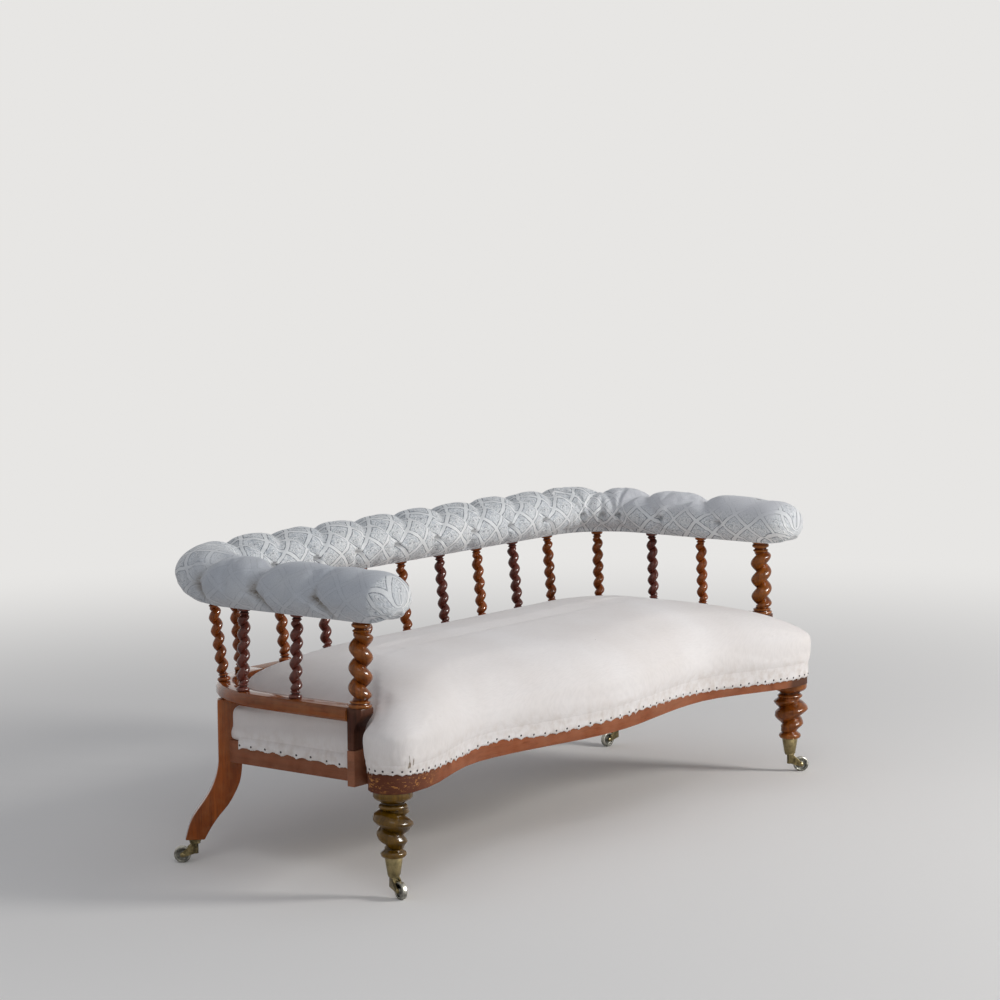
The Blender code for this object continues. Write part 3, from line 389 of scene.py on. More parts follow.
def make_trellis():
    """Crossing ribbons with a small palmette in every diamond, on cloth metres."""
    given = group("trellis", (("Vector", None), ("Wide", 0.076), ("Tall", 0.074)),
                  ("Ribbon", "Ribbon line", "Motif", "Shade", "Thread"))
    warp, weft, _ = split(given["Vector"])
    u = warp / given["Wide"]
    v = weft / given["Tall"]
    # Inside a diamond, both ways run from 0 at its middle to 0.5 at its edge
    first = maths('FRACT', u + v) - 0.5
    second = maths('FRACT', u - v) - 0.5
    near = larger(size_of(first), size_of(second))
    across = first + second
    up = first - second
    above_stem = up + 0.22
    petals = size_of(maths('COSINE', maths('ARCTAN2', across, above_stem) * 2.5))
    off = size_of(flat_length(across, above_stem) - (petals * 0.34 + 0.10))
    motif = ramp(off, (0.0, 1.0), (0.035, 1.0), (0.06, 0.0))
    rim = ramp(off, (0.05, 0.0), (0.065, 1.0), (0.085, 1.0), (0.10, 0.0))
    dots = ramp(flat_length(size_of(across) - 0.16, up), (0.040, 1.0), (0.065, 0.0))
    heart = ramp(flat_length(across, up + 0.05),
                 (0.05, 1.0), (0.09, 0.0), (0.13, 0.0), (0.15, 0.8), (0.18, 0.0))
    inside = ramp(near, (0.30, 1.0), (0.35, 0.0))
    return send({"Ribbon": ramp(near, (0.412, 0.0), (0.426, 1.0)),
                 "Ribbon line": ramp(near, (0.368, 0.0), (0.382, 1.0), (0.405, 1.0), (0.417, 0.0)),
                 "Motif": larger(motif, heart) * inside,
                 "Shade": larger(rim, dots) * inside,
                 "Thread": maths('SINE', warp * CLOTH_THREADS) * maths('SINE', weft * CLOTH_THREADS)})


# Phase of the cloth's threads over one metre
CLOTH_THREADS = 5200.0

WOOD_FIGURE = make_wood_figure()
EDGE_WEAR_AND_HOLLOW_SHADE = make_edge_wear_and_hollow_shade()
PLAIN_WEAVE = make_plain_weave()
TRELLIS = make_trellis()


# Finishes

def wood(name, dark, light, worn, along=(1.0, 1.0, 0.06), scale=60.0, rough=0.26, coat=1.0, dust=0.0,
         stained=False):
    """Polished or rubbed wood. stained darkens the two ends of the front rail
    and leaves flakes of old gilding on the left one."""
    made, shader = material(name)
    place = object_place()
    figure = use(WOOD_FIGURE, vector=place, along=along, scale=scale)
    wear_and_shade = use(EDGE_WEAR_AND_HOLLOW_SHADE, vector=place)
    colour = ramp(figure["Figure"], (0.30, dark), (0.68, light))
    colour = mix(0.55, colour, ramp(figure["Pores"], (0.36, 0.55), (0.52, 1.0)), 'MULTIPLY')
    # Painted shade: the grooves of the twists and the other hollows are darkened.
    colour = mix(wear_and_shade["Hollow"] * 0.92, colour, tuple(c * 0.20 for c in dark))
    colour = mix(wear_and_shade["Edge"] * 0.45, colour, worn)
    if dust:
        colour = mix(ramp(figure["Blotch"], (0.40, 0.0), (0.62, 1.0)) * dust, colour, (0.42, 0.185, 0.105))
    if stained:
        colour = end_stains(place, figure["Blotch"], colour)
    gloss = figure["Blotch"] * 0.16 + rough + wear_and_shade["Hollow"] * 0.25
    feed(shader, {"Base Color": colour, "Roughness": gloss,
                  "Normal": bump(figure["Pores"], 0.25, 0.0004), "Coat Weight": coat,
                  "Coat Roughness": 0.06, "Coat IOR": 1.30, "Specular IOR Level": 0.05})
    return made


def end_stains(place, blotch, colour):
    x, _, z = split(place)
    left = x * -1.0 + blotch * 0.25
    right = x + blotch * 0.10
    colour = mix(ramp(left, (0.72, 0.0), (0.92, 1.0)) * 0.85, colour, (0.085, 0.026, 0.016))
    colour = mix(ramp(right, (0.775, 0.0), (0.805, 1.0)) * 0.85, colour, (0.075, 0.040, 0.028))
    flakes = ramp(clouds(scaled(place, (0.6, 0.6, 1.5)), 105.0, 7.0, 0.78), (0.555, 0.0), (0.60, 1.0))
    low = ramp(z, (0.236, 0.0), (0.246, 1.0), (0.262, 1.0), (0.275, 0.0))
    return mix(flakes * low * ramp(left, (0.80, 0.0), (0.86, 1.0)), colour, (0.55, 0.24, 0.07))


def spot(place, centre, reach, breakup):
    """1 within a ragged spot round a point of the object, 0 away from it."""
    offset = put("VectorMath", {0: place, 1: centre}, operation='SUBTRACT')
    away = length(scaled(offset, tuple(1 / r for r in reach)))
    return ramp(away + breakup * 0.9, (0.95, 1.0), (1.0, 0.0))


def make_calico():
    made, shader = material("calico")
    place = object_place()
    weave = use(PLAIN_WEAVE, vector=place, threads=CLOTH_THREADS)
    colour = ramp(clouds(place, 4.0, 4.0), (0.35, (0.79, 0.745, 0.72)), (0.65, (0.85, 0.815, 0.80)))
    colour = mix(0.10, colour, ramp(weave["Slub"], (0.35, 0.6), (0.6, 1.0)), 'MULTIPLY')
    fine = clouds(place, 55.0, 4.0)
    soil = ramp(split(place)[2], (0.278, 1.0), (0.330, 0.0)) * ramp(fine, (0.42, 0.0), (0.70, 1.0))
    colour = mix(soil * 0.45, colour, (0.52, 0.43, 0.36))
    # Painted shade: dark upright streaks by the left ear, along the creases of its calico
    streak = clouds(scaled(place, (150.0, 150.0, 14.0)), 1.0, 3.0)
    near = spot(place, (-0.812, -0.380, 0.305), (0.030, 0.030, 0.034), streak)
    colour = mix(near * ramp(streak, (0.54, 0.0), (0.60, 1.0)), colour, (0.26, 0.20, 0.15))
    for centre, reach in (((0.105, -0.072, 0.470), (0.011, 0.007, 0.02)),
                          ((0.036, -0.264, 0.454), (0.006, 0.005, 0.02))):
        colour = mix(spot(place, centre, reach, fine), colour, (0.17, 0.14, 0.12))
    height = weave["Height"] * 0.04 + clouds(place, 14.0) * 0.6
    feed(shader, {"Base Color": colour, "Roughness": ramp(fine, (0.3, 0.88), (0.7, 0.96)),
                  "Normal": bump(height, 0.22, 0.0012), "Sheen Weight": 0.15, "Sheen Roughness": 0.5,
                  "Specular IOR Level": 0.15})
    return made


def make_trellis_cloth():
    """Woven trellis, rubbed plain where the attribute worn says so; that plain tone has painted
    shade on the left and painted light to the right. The folds are brown, with soil and painted
    shade in the creases as a fold attribute gives, and there is a frayed hole on the right arm."""
    made, shader = material("trellis_cloth")
    cloth = put("UVMap", uv_map="cloth")
    place = object_place()
    worn, fold_soil_and_shade = [put("Attribute", output="Fac", attribute_name=name) for name in ("worn", "fold_soil_and_shade")]
    shifted = put("VectorMath", {0: clouds(cloth, 11.0, output="Color"), 1: (0.022, 0.022, 0.0), 2: cloth},
                  operation='MULTIPLY_ADD')
    pattern = use(TRELLIS, vector=shifted)
    fade = clouds(place, 7.0, 4.0)
    ground = ramp(fade, (0.35, (0.50, 0.54, 0.585)), (0.65, (0.60, 0.635, 0.66)))
    ribbon = ramp(fade, (0.35, (0.80, 0.82, 0.83)), (0.65, (0.87, 0.875, 0.87)))
    ink = (0.085, 0.098, 0.120)
    leaves = clouds(shifted, 165.0, 2.0, 0.6, 1.6)
    curls = ramp(leaves, (0.44, 0.0), (0.50, 1.0))
    marks = ramp(size_of(leaves - 0.45), (0.0, 1.0), (0.018, 0.0))
    broken = ramp(clouds(cloth, 95.0), (0.36, 0.30), (0.56, 1.0))
    colour = mix(curls * 0.85, ground, ribbon)
    colour = mix(marks * 0.70, colour, ink)
    colour = mix(pattern["Motif"] * 0.9, colour, ribbon)
    colour = mix(pattern["Shade"] * broken * 0.80, colour, ink)
    colour = mix(pattern["Ribbon line"] * broken * 0.95, colour, ink)
    colour = mix(pattern["Ribbon"] * 0.95, colour, ribbon)
    # The pattern is rubbed off here. Its plain tone is darker on the left, a painted shade, and lighter to
    # the right, a painted light.
    plain = ramp(fade, (0.35, (0.46, 0.485, 0.53)), (0.65, (0.56, 0.58, 0.61)))
    plain = mix(ramp(split(place)[0], (0.0, 0.0), (0.5, 1.0)), plain, (0.66, 0.67, 0.70))
    plain = mix(larger(pattern["Ribbon line"], marks) * broken * 0.13, plain, ink)
    rubbed = worn * ramp(fade, (0.25, 0.92), (0.5, 1.0))
    colour = mix(rubbed, colour, plain)
    speck = clouds(cloth, 420.0)
    colour = mix(0.22, colour, ramp(speck, (0.38, 0.5), (0.6, 1.0)), 'MULTIPLY')
    # Brown in the deep folds: soil, and painted shade in the creases.
    colour = mix(fold_soil_and_shade * ramp(leaves, (0.36, 0.35), (0.58, 0.95)), colour, (0.20, 0.165, 0.125))
    hole = spot(place, (0.803, -0.237, 0.706), (0.006, 0.016, 0.02), speck)
    frayed = spot(place, (0.803, -0.232, 0.706), (0.012, 0.030, 0.02), leaves)
    colour = mix(frayed * 0.6, colour, (0.82, 0.82, 0.80))
    colour = mix(hole, colour, (0.05, 0.04, 0.04))
    raised = (pattern["Ribbon"] + pattern["Motif"]) * 0.35 + curls * 0.25
    raised = raised * maths('SUBTRACT', 1.0, rubbed) + pattern["Thread"] * 0.06
    feed(shader, {"Base Color": colour, "Roughness": ramp(pattern["Ribbon"], (0.0, 0.80), (1.0, 0.62)),
                  "Normal": bump(raised, 0.30, 0.0009), "Sheen Weight": 0.2, "Sheen Roughness": 0.4,
                  "Specular IOR Level": 0.2})
    return made


def make_metal(name, dark, light, rough):
    made, shader = material(name)
    place = object_place()
    wear_and_shade = use(EDGE_WEAR_AND_HOLLOW_SHADE, vector=place, breakup=160.0)
    tarnish = clouds(place, 70.0, 5.0, 0.65)
    colour = ramp(tarnish, (0.38, dark), (0.62, light))
    colour = mix(wear_and_shade["Edge"] * 0.6, colour, tuple(min(1, c * 1.5) for c in light))
    # Hollows darker: tarnish there, and painted shade.
    colour = mix(wear_and_shade["Hollow"] * 0.8, colour, tuple(c * 0.3 for c in dark))
    feed(shader, {"Base Color": colour, "Roughness": tarnish * 0.35 + (rough - 0.15),
                  "Normal": bump(tarnish, 0.25, 0.0006), "Metallic": 1.0})
    return made


def make_jute(name, dark, light, threads):
    made, shader = material(name)
    weave = use(PLAIN_WEAVE, vector=object_place(), threads=threads)
    colour = ramp(weave["Height"], (0.0, dark), (1.0, light))
    colour = mix(0.4, colour, ramp(weave["Slub"], (0.35, 0.6), (0.6, 1.0)), 'MULTIPLY')
    feed(shader, {"Base Color": colour, "Roughness": 0.95, "Normal": bump(weave["Height"], 0.8, 0.0010)})
    return made


ALONG_X = (0.06, 1.0, 1.0)
ALONG_Y = (1.0, 0.06, 1.0)
RED_WOOD = wood("polished_red_wood", (0.070, 0.010, 0.002), (0.33, 0.070, 0.010), (0.52, 0.18, 0.04))
DARK_WOOD = wood("polished_dark_wood", (0.040, 0.008, 0.005), (0.155, 0.032, 0.020), (0.30, 0.12, 0.09))
AMBER_WOOD = wood("polished_amber_wood", (0.060, 0.010, 0.002), (0.32, 0.082, 0.008), (0.55, 0.22, 0.04))
OLIVE_WOOD = wood("polished_olive_wood", (0.024, 0.011, 0.0005), (0.150, 0.070, 0.002), (0.36, 0.20, 0.03))
STAINED_WOOD = wood("stained_console_wood", (0.022, 0.007, 0.004), (0.095, 0.030, 0.018),
                    (0.22, 0.10, 0.06), rough=0.34, coat=0.25)
LEG_WOOD = wood("sabre_leg_wood", (0.13, 0.026, 0.002), (0.36, 0.080, 0.006), (0.52, 0.24, 0.09),
                scale=34.0)
SPINDLE_RAIL_SIDE, SPINDLE_RAIL_BACK = [
    wood(f"spindle_rail_wood_{place}", (0.10, 0.018, 0.002), (0.29, 0.066, 0.008), (0.50, 0.24, 0.09),
         along=along, scale=34.0) for place, along in (("side", ALONG_Y), ("back", ALONG_X))]
RAIL_FRONT, RAIL_BACK = [
    wood(f"seat_rail_wood_{place}", (0.18, 0.041, 0.014), (0.345, 0.102, 0.042), (0.50, 0.24, 0.12),
         along=ALONG_X, scale=30.0, rough=0.50, coat=0.0, dust=0.45, stained=place == "front")
    for place in ("front", "back")]
RAIL_SIDE = wood("seat_rail_wood_side", (0.13, 0.030, 0.011), (0.28, 0.082, 0.034), (0.46, 0.24, 0.15),
                 along=ALONG_Y, scale=30.0, rough=0.42, coat=0.2, dust=0.20)
CALICO = make_calico()
TRELLIS_CLOTH = make_trellis_cloth()
BRASS = make_metal("aged_brass", (0.055, 0.045, 0.024), (0.25, 0.20, 0.10), 0.34)
WHEEL_BRASS = make_metal("worn_wheel_brass", (0.09, 0.09, 0.08), (0.34, 0.33, 0.29), 0.36)
IRON = make_metal("tack_iron", (0.02, 0.018, 0.018), (0.07, 0.06, 0.06), 0.5)
STEEL = make_metal("spring_wire", (0.12, 0.08, 0.05), (0.36, 0.28, 0.20), 0.42)
WEBBING = make_jute("jute_webbing", (0.24, 0.18, 0.10), (0.50, 0.41, 0.27), 3200.0)
HESSIAN = make_jute("hessian_cloth", (0.20, 0.14, 0.07), (0.48, 0.37, 0.22), 2600.0)


# Turned wood

def drawn_rod(name, sides, valley, stations):
    """A rod drawn upward ring by ring. Each station is height, radius and turn.
    Round a ring the radius falls in a full swell from the whole to valley, a
    share of it, so that a turning ring makes a barley twist with one groove."""
    height, radius, turn = stations[0]
    rod = start_circle(name, sides, radius, height)
    if valley < 1:
        bpy.ops.mesh.select_mode(type='VERT')
        for k in range(1, sides):
            bpy.ops.mesh.select_all(action='DESELECT')
            ring = bmesh.from_edit_mesh(rod.data)
            ring.verts.ensure_lookup_table()
            ring.verts[k].select_set(True)
            ring.select_flush_mode()
            share = valley + (1 - valley) * cos(pi * min(k, sides - k) / sides)
            bpy.ops.transform.resize(value=(share, share, 1), center_override=(0, 0, 0))
        bpy.ops.mesh.select_all(action='SELECT')
    bpy.ops.transform.rotate(value=pi / 2 - turn, orient_axis='Z', center_override=(0, 0, 0))
    for before, after in zip(stations, stations[1:]):
        share = after[1] / before[1]
        extrude((0, 0, after[0] - before[0]), share, share)
        if after[2] != before[2]:
            bpy.ops.transform.rotate(value=before[2] - after[2], orient_axis='Z',
                                     center_override=(0, 0, 0))
    face_outward()
    apply_place(rod)
    return rod


def twist_stations(bottom, top, radius, neck, turns, steps, run_in):
    """Heights, radii and turns of a twist that swells out of a neck at each end."""
    count = round(turns * steps)
    stations = []
    for k in range(count + 1):
        share = k / count
        full = sin(pi / 2 * min(1.0, min(share, 1 - share) * turns / run_in))
        stations.append((bottom + (top - bottom) * share, neck + (radius - neck) * full,
                         2 * pi * k / steps))
    return stations


def upright_master(name, sides, valley, stations, *profiles):
    """A twist with turned ends grown into it. Profiles are radius and height."""
    rod = drawn_rod(name, sides, valley, stations)
    ends = [drawn_rod(f"{name}_end", sides, 1.0, [(height, radius, 0.0) for radius, height in profile])
            for profile in profiles]
    for end in ends:
        unite(rod, end)
    smooth(rod, 50)
    return rod


def mirrored(obj, name):
    twin = copy_of(obj, name)
    edit(twin)
    bpy.ops.transform.resize(value=(-1, 1, 1), center_override=(0, 0, 0))
    bpy.ops.mesh.flip_normals()
    leave()
    return twin


# Bottom and top of a small spindle, as radius and height in metres. Each one
# stands turned on from the one before it
SPINDLE_TURN = 2.4
DARK_SPINDLES = {"left_front_spindle", "left_rear_spindle", "back_spindle_3", "back_spindle_6",
                 "back_spindle_8", "right_rear_spindle"}
SPINDLE_LENGTH = 0.1907
SPINDLE_END = ((0.0128, 0.0), (0.0146, 0.0012), (0.0155, 0.0042), (0.0146, 0.0074), (0.0116, 0.0090),
               (0.0090, 0.0102), (0.0088, 0.0116), (0.0108, 0.0130), (0.0116, 0.0144), (0.0108, 0.0158),
               (0.0084, 0.0174), (0.0078, 0.0190))


def spindle_master():
    stations = twist_stations(0.0170, SPINDLE_LENGTH - 0.0170, 0.0152, 0.0096, 5, 16, 0.32)
    cap = [(r, SPINDLE_LENGTH - h) for r, h in SPINDLE_END[::-1]]
    return upright_master("spindle_master", 24, 0.42, stations, SPINDLE_END, cap)


# Big post: its foot and cap, radius and height
POST_FOOT = ((0.0225, -0.001), (0.0252, 0.0010), (0.0263, 0.0040), (0.0252, 0.0070), (0.0216, 0.0085),
             (0.0212, 0.0098), (0.0226, 0.0108), (0.0232, 0.0124), (0.0222, 0.0140), (0.0180, 0.0156),
             (0.0160, 0.0180), (0.0150, 0.0230))
POST_CAP = ((0.0150, 0.1600), (0.0160, 0.1640), (0.0186, 0.1662), (0.0200, 0.1680), (0.0190, 0.1698),
            (0.0158, 0.1716), (0.0150, 0.1735), (0.0172, 0.1756), (0.0212, 0.1776), (0.0222, 0.1806),
            (0.0212, 0.1834), (0.0190, 0.1850), (0.0190, 0.1866), (0.0214, 0.1882), (0.0216, 0.1907))


# Front leg: its rings, the tapered twist and its collar, radius and height
LEG_LOW = ((0.0205, 0.0882), (0.0262, 0.0900), (0.0285, 0.0940), (0.0288, 0.0975), (0.0270, 0.1010),
           (0.0220, 0.1040), (0.0200, 0.1070))
LEG_HIGH = ((0.0250, 0.1940), (0.0290, 0.1965), (0.0322, 0.1995), (0.0326, 0.2025), (0.0300, 0.2055),
            (0.0262, 0.2080), (0.0264, 0.2105), (0.0310, 0.2135), (0.0375, 0.2165), (0.0418, 0.2200),
            (0.0440, 0.2240), (0.0442, 0.2290), (0.0430, 0.2347))
LEG_TWIST = ((0.1030, 0.0215), (0.1110, 0.0245), (0.1300, 0.0350), (0.1500, 0.0400), (0.1680, 0.0470),
             (0.1850, 0.0440), (0.1960, 0.0340), (0.2040, 0.0270))
LEG_PITCH = 0.0425
FRONT_LEG_X = 0.809


def leg_radius(height):
    for (z0, r0), (z1, r1) in zip(LEG_TWIST, LEG_TWIST[1:]):
        if height <= z1:
            share = (height - z0) / (z1 - z0)
            return r0 + (r1 - r0) * (1 - cos(pi * share)) / 2
    return LEG_TWIST[-1][1]


def leg_master(phase, at_height):
    bottom = LEG_TWIST[0][0]
    top = LEG_TWIST[-1][0]
    heights = [bottom + (top - bottom) * k / 48 for k in range(49)]
    stations = [(height, leg_radius(height), phase + 2 * pi * (height - at_height) / LEG_PITCH)
                for height in heights]
    return upright_master("leg_master", 40, 0.60, stations, LEG_LOW, LEG_HIGH)


def place_upright(master, name, foot, top, turn):
    """A copy of an upright set on its foot and leaned to its top."""
    obj = copy_of(master, name)
    tilt = Vector((0, 0, 1)).rotation_difference(top - foot).to_matrix().to_4x4()
    obj.matrix_world = Matrix.Translation(foot) @ tilt @ Matrix.Rotation(turn, 4, 'Z')
    apply_place(obj)
    return obj


def ring_centre(part, height):
    """Middle of a node's mesh near a height."""
    co = points_of(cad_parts[part])
    near = co[abs(co[:, 2] - height) < 0.004]
    return Vector((*(near.min(0) + near.max(0))[:2] / 2, height))


def make_spindles():
    master = spindle_master()
    names = [f"back_spindle_{k}" for k in range(1, 10)]
    names += [f"{side}_{label}_spindle" for side, _ in SIDES for label in ("front", "rear", "corner")]
    for number, name in enumerate(names):
        low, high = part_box(name)
        spindle = place_upright(master, name.replace("spindle", "twist"), ring_centre(name, low.z),
                                ring_centre(name, high.z), SPINDLE_TURN * number)
        finish_piece(spindle, DARK_WOOD if name in DARK_SPINDLES else RED_WOOD, "polished_wood", name)
    bpy.data.objects.remove(master)


def drawn_bar(name, rings):
    """A bar drawn ring by ring from level rectangles: middle x and y, height,
    length along x and along y."""
    bpy.ops.object.select_all(action='DESELECT')
    x, y, z, wide, deep = rings[0]
    bpy.ops.mesh.primitive_plane_add(size=1.0, location=(0, 0, 0))
    bar = bpy.context.object
    bar.name = name
    edit(bar)
    bpy.ops.transform.resize(value=(wide, deep, 1), center_override=(0, 0, 0))
    bpy.ops.transform.translate(value=(x, y, z))
    for before, after in zip(rings, rings[1:]):
        extrude(tuple(a - b for a, b in zip(after[:3], before[:3])), after[3] / before[3],
                after[4] / before[4], after[:3])
    face_outward()
    return bar


# Gap between two wooden pieces
GAP = 0.0003
# Console under a post: its inner side, width, depth at the head and at the foot,
# and the height of the seam between it and the rail's corner block
CONSOLE_X = SEAT_SIDE_X + GAP
CONSOLE_WIDTH = 0.042
CONSOLE_DEPTH = 0.0415
CONSOLE_FOOT = 0.018
CONSOLE_SEAM = 0.3150


def post_block(name, sign, wide, rows):
    """Block under a post. Rows are height and depth; its back and inner side are
    upright."""
    back = POST_Y + CONSOLE_DEPTH / 2 + LEG_LINE_Y
    middle = sign * (CONSOLE_X + wide / 2)
    block = drawn_bar(name, [(middle, back - deep / 2, height, wide, deep) for height, deep in rows])
    ease(block, 0.0018, 2, 35)
    smooth(block, 45)
    return block


def console_rows():
    height = SPINDLE_RAIL_TOP - RAIL_BOTTOM
    rows = [(CONSOLE_SEAM + GAP, CONSOLE_FOOT)]
    for share, depth in ((0.66, 0.0), (0.70, 0.02), (0.74, 0.10), (0.78, 0.24), (0.82, 0.44), (0.86, 0.68),
                         (0.90, 0.90), (0.925, 1.0), (1.0, 1.0)):
        rows.append((RAIL_BOTTOM + height * share, CONSOLE_FOOT + (CONSOLE_DEPTH - CONSOLE_FOOT) * depth))
    return rows


def make_posts():
    stations = twist_stations(0.0150, 0.1680, 0.0272, 0.0160, 3.5, 20, 0.34)
    master = upright_master("post_master", 32, 0.44, stations, POST_FOOT, POST_CAP)
    left_master = mirrored(master, "post_master_left")
    for side, sign in SIDES:
        name = f"{side}_front_post"
        top = ring_centre(name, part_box(name)[1].z)
        foot = Vector((sign * (CONSOLE_X + CONSOLE_WIDTH / 2), POST_Y + LEG_LINE_Y, SPINDLE_RAIL_TOP))
        post = place_upright(master if sign > 0 else left_master, f"{side}_twist_post", foot, top,
                             radians(226 if sign > 0 else 192))
        finish_piece(post, AMBER_WOOD, "polished_wood", name)
        block = post_block(f"{side}_console", sign, CONSOLE_WIDTH, console_rows())
        finish_piece(block, STAINED_WOOD, "polished_wood", name)
        foot = post_block(f"{side}_rail_corner", sign, CONSOLE_WIDTH + 0.0015,
                          [(height, CONSOLE_FOOT + 0.003) for height in (RAIL_BOTTOM, CONSOLE_SEAM - GAP)])
        finish_piece(foot, RAIL_SIDE, "polished_wood", name)
    for obj in (master, left_master):
        bpy.data.objects.remove(obj)


def make_front_legs():
    for side, sign in SIDES:
        leg = leg_master(radians(-52.3 * sign), 0.170 if sign > 0 else 0.180)
        if sign < 0:
            other = mirrored(leg, "leg_left")
            bpy.data.objects.remove(leg)
            leg = other
        leg.name = f"{side}_twist_leg"
        leg.location = (sign * FRONT_LEG_X, LEG_LINE_Y, 0)
        apply_place(leg)
        finish_piece(leg, AMBER_WOOD if sign > 0 else OLIVE_WOOD, "golden_wood", f"{side}_front_leg")


# Back legs: height below the rail, sweep and level depth, as shares
REAR_LEG_SHARES = (
    (1.0, 0.0, 1.0), (0.86, 0.035, 1.04), (0.73, 0.108, 1.09), (0.585, 0.256, 1.12),
    (0.44, 0.455, 1.16), (0.30, 0.690, 1.10), (0.155, 0.862, 0.96), (0.0, 1.0, 0.82))
REAR_LEG_SWEEP = 0.0835
REAR_LEG_FOOT = 0.0543
REAR_LEG_X = 0.771
REAR_LEG_Y = 0.515
REAR_LEG_DEPTH = 0.054
STILE_WIDTH = 0.040
STILE_TOP = 0.3777


def even_curve(rows, column, share):
    """Smooth value between rows, by their first column."""
    xs, ys = zip(*sorted((row[0], row[column]) for row in rows))
    k = max(1, min(len(xs) - 3, next((j for j, x in enumerate(xs) if x > share), len(xs) - 1) - 1))
    total = 0.0
    picked = range(k - 1, k + 3)
    for a in picked:
        part = ys[a]
        for b in picked:
            if b != a:
                part *= (share - xs[b]) / (xs[a] - xs[b])
        total += part
    return total


def make_rear_legs():
    for side, sign in SIDES:
        rings = []
        for share in (k / 26 for k in range(27)):
            height = REAR_LEG_FOOT + (RAIL_BOTTOM - REAR_LEG_FOOT) * share
            rings.append((REAR_LEG_SWEEP * even_curve(REAR_LEG_SHARES, 1, share), 0.0, height,
                          REAR_LEG_DEPTH * even_curve(REAR_LEG_SHARES, 2, share),
                          STILE_WIDTH - 0.010 * (1 - share)))
        rings.append((0.0, 0.0, STILE_TOP, REAR_LEG_DEPTH, STILE_WIDTH))
        leg = drawn_bar(f"{side}_sabre_leg", rings)
        ease(leg, 0.0022, 3, 45)
        leg.matrix_world = (Matrix.Translation((sign * REAR_LEG_X, REAR_LEG_Y + LEG_LINE_Y, 0))
                            @ Matrix.Rotation(radians(90 - 45 * sign), 4, 'Z'))
        apply_place(leg)
        smooth(leg, 35)
        finish_piece(leg, LEG_WOOD, "polished_wood", f"{side}_rear_leg")


# Rails and metal taken over from the model, with softened edges

def refined(part, name, bevel, finish, slot, body=SOFA):
    """A welded copy of a node with its edges eased."""
    piece = copy_of(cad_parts[part], name)
    piece.parent = None
    for key in list(piece.keys()):
        del piece[key]
    edit(piece)
    bpy.ops.mesh.remove_doubles(threshold=0.00002)
    bpy.ops.mesh.dissolve_limited(angle_limit=radians(1.5))
    face_outward()
    ease(piece, bevel, 2, 35)
    smooth(piece, 35)
    finish_piece(piece, finish, slot, part, body=body)


def make_rails():
    finishes = (("front", RAIL_FRONT, None), ("back", RAIL_BACK, SPINDLE_RAIL_BACK),
                ("left", RAIL_SIDE, SPINDLE_RAIL_SIDE), ("right", RAIL_SIDE, SPINDLE_RAIL_SIDE))
    for place, rail, spindle_rail in finishes:
        refined(f"{place}_seat_rail", f"{place}_rail", 0.0012, rail, "frame_wood")
        if spindle_rail:
            refined(f"{place}_spindle_rail", f"{place}_low_rail", 0.0010, spindle_rail, "polished_wood")
            refined(f"{place}_top_rail", f"{place}_roll_rail", 0.0010, spindle_rail, "frame_wood")


def make_castors():
    for end, cup in (("front", "ferrule"), ("rear", "socket")):
        for side, _ in SIDES:
            castor = f"{end}_{side}"
            for part, name, bevel, finish, slot, body in (
                    (cup, "cup", 0.0006, BRASS, "castor_brass", SOFA),
                    ("castor_horn", "fork", 0.0006, BRASS, "castor_brass", f"{castor}_swivel"),
                    ("castor_axle", "pin", 0.0003, BRASS, "castor_brass", f"{castor}_swivel"),
                    ("castor_wheel", "wheel", 0.0008, WHEEL_BRASS, "castor_wheel", f"{castor}_roller")):
                refined(f"{castor}_{part}", f"{castor}_{name}", bevel, finish, slot, body)


# Lines of the seat's plan

def front_line(x):
    """Serpentine front of the seat: y at a distance from the middle."""
    x = abs(x)
    if x < HOLLOW_X:
        share = (1 - cos(pi * x / HOLLOW_X)) / 2
        return -FRONT_BOW + (FRONT_HOLLOW + FRONT_BOW) * share
    share = (1 - cos(pi * (x - HOLLOW_X) / (EAR_X - HOLLOW_X))) / 2
    return FRONT_HOLLOW - (FRONT_HOLLOW + EAR_RADIUS - EAR_Y) * share


def tube_faces(rings, around):
    """Quads between rings of points that each close on themselves."""
    return [(r * around + k, r * around + (k + 1) % around, (r + 1) * around + (k + 1) % around,
             (r + 1) * around + k) for r in range(rings - 1) for k in range(around)]


def arc_points(centre, radius, start, end, steps):
    return [(centre[0] + radius * cos(start + (end - start) * k / steps),
             centre[1] + radius * sin(start + (end - start) * k / steps)) for k in range(steps + 1)]


def seat_half():
    """Right half of the seat's edge: point and share of the front bulge."""
    line = [((x, front_line(x)), 1.0) for x in (EAR_X * k / 90 for k in range(90))]
    for point in arc_points((EAR_X, EAR_Y), EAR_RADIUS, -pi / 2, pi / 2, 24):
        behind = (point[1] - EAR_Y) / EAR_RADIUS
        line.append((point, 1 - 0.85 * within((behind - 0.78) / 0.22)))
    line.append(((SEAT_SIDE_X, EAR_Y + EAR_RADIUS), 0.0))
    centre = (SEAT_SIDE_X - SEAT_CORNER, SEAT_BACK_Y - SEAT_CORNER)
    line += [((SEAT_SIDE_X, FRONT_RAIL_BACK + (centre[1] - FRONT_RAIL_BACK) * k / 40), 0.0)
             for k in range(40)]
    line += [(point, 0.0) for point in arc_points(centre, SEAT_CORNER, 0, pi / 2, 24)]
    line += [((centre[0] * (1 - k / 60), SEAT_BACK_Y), 0.0) for k in range(1, 61)]
    return line


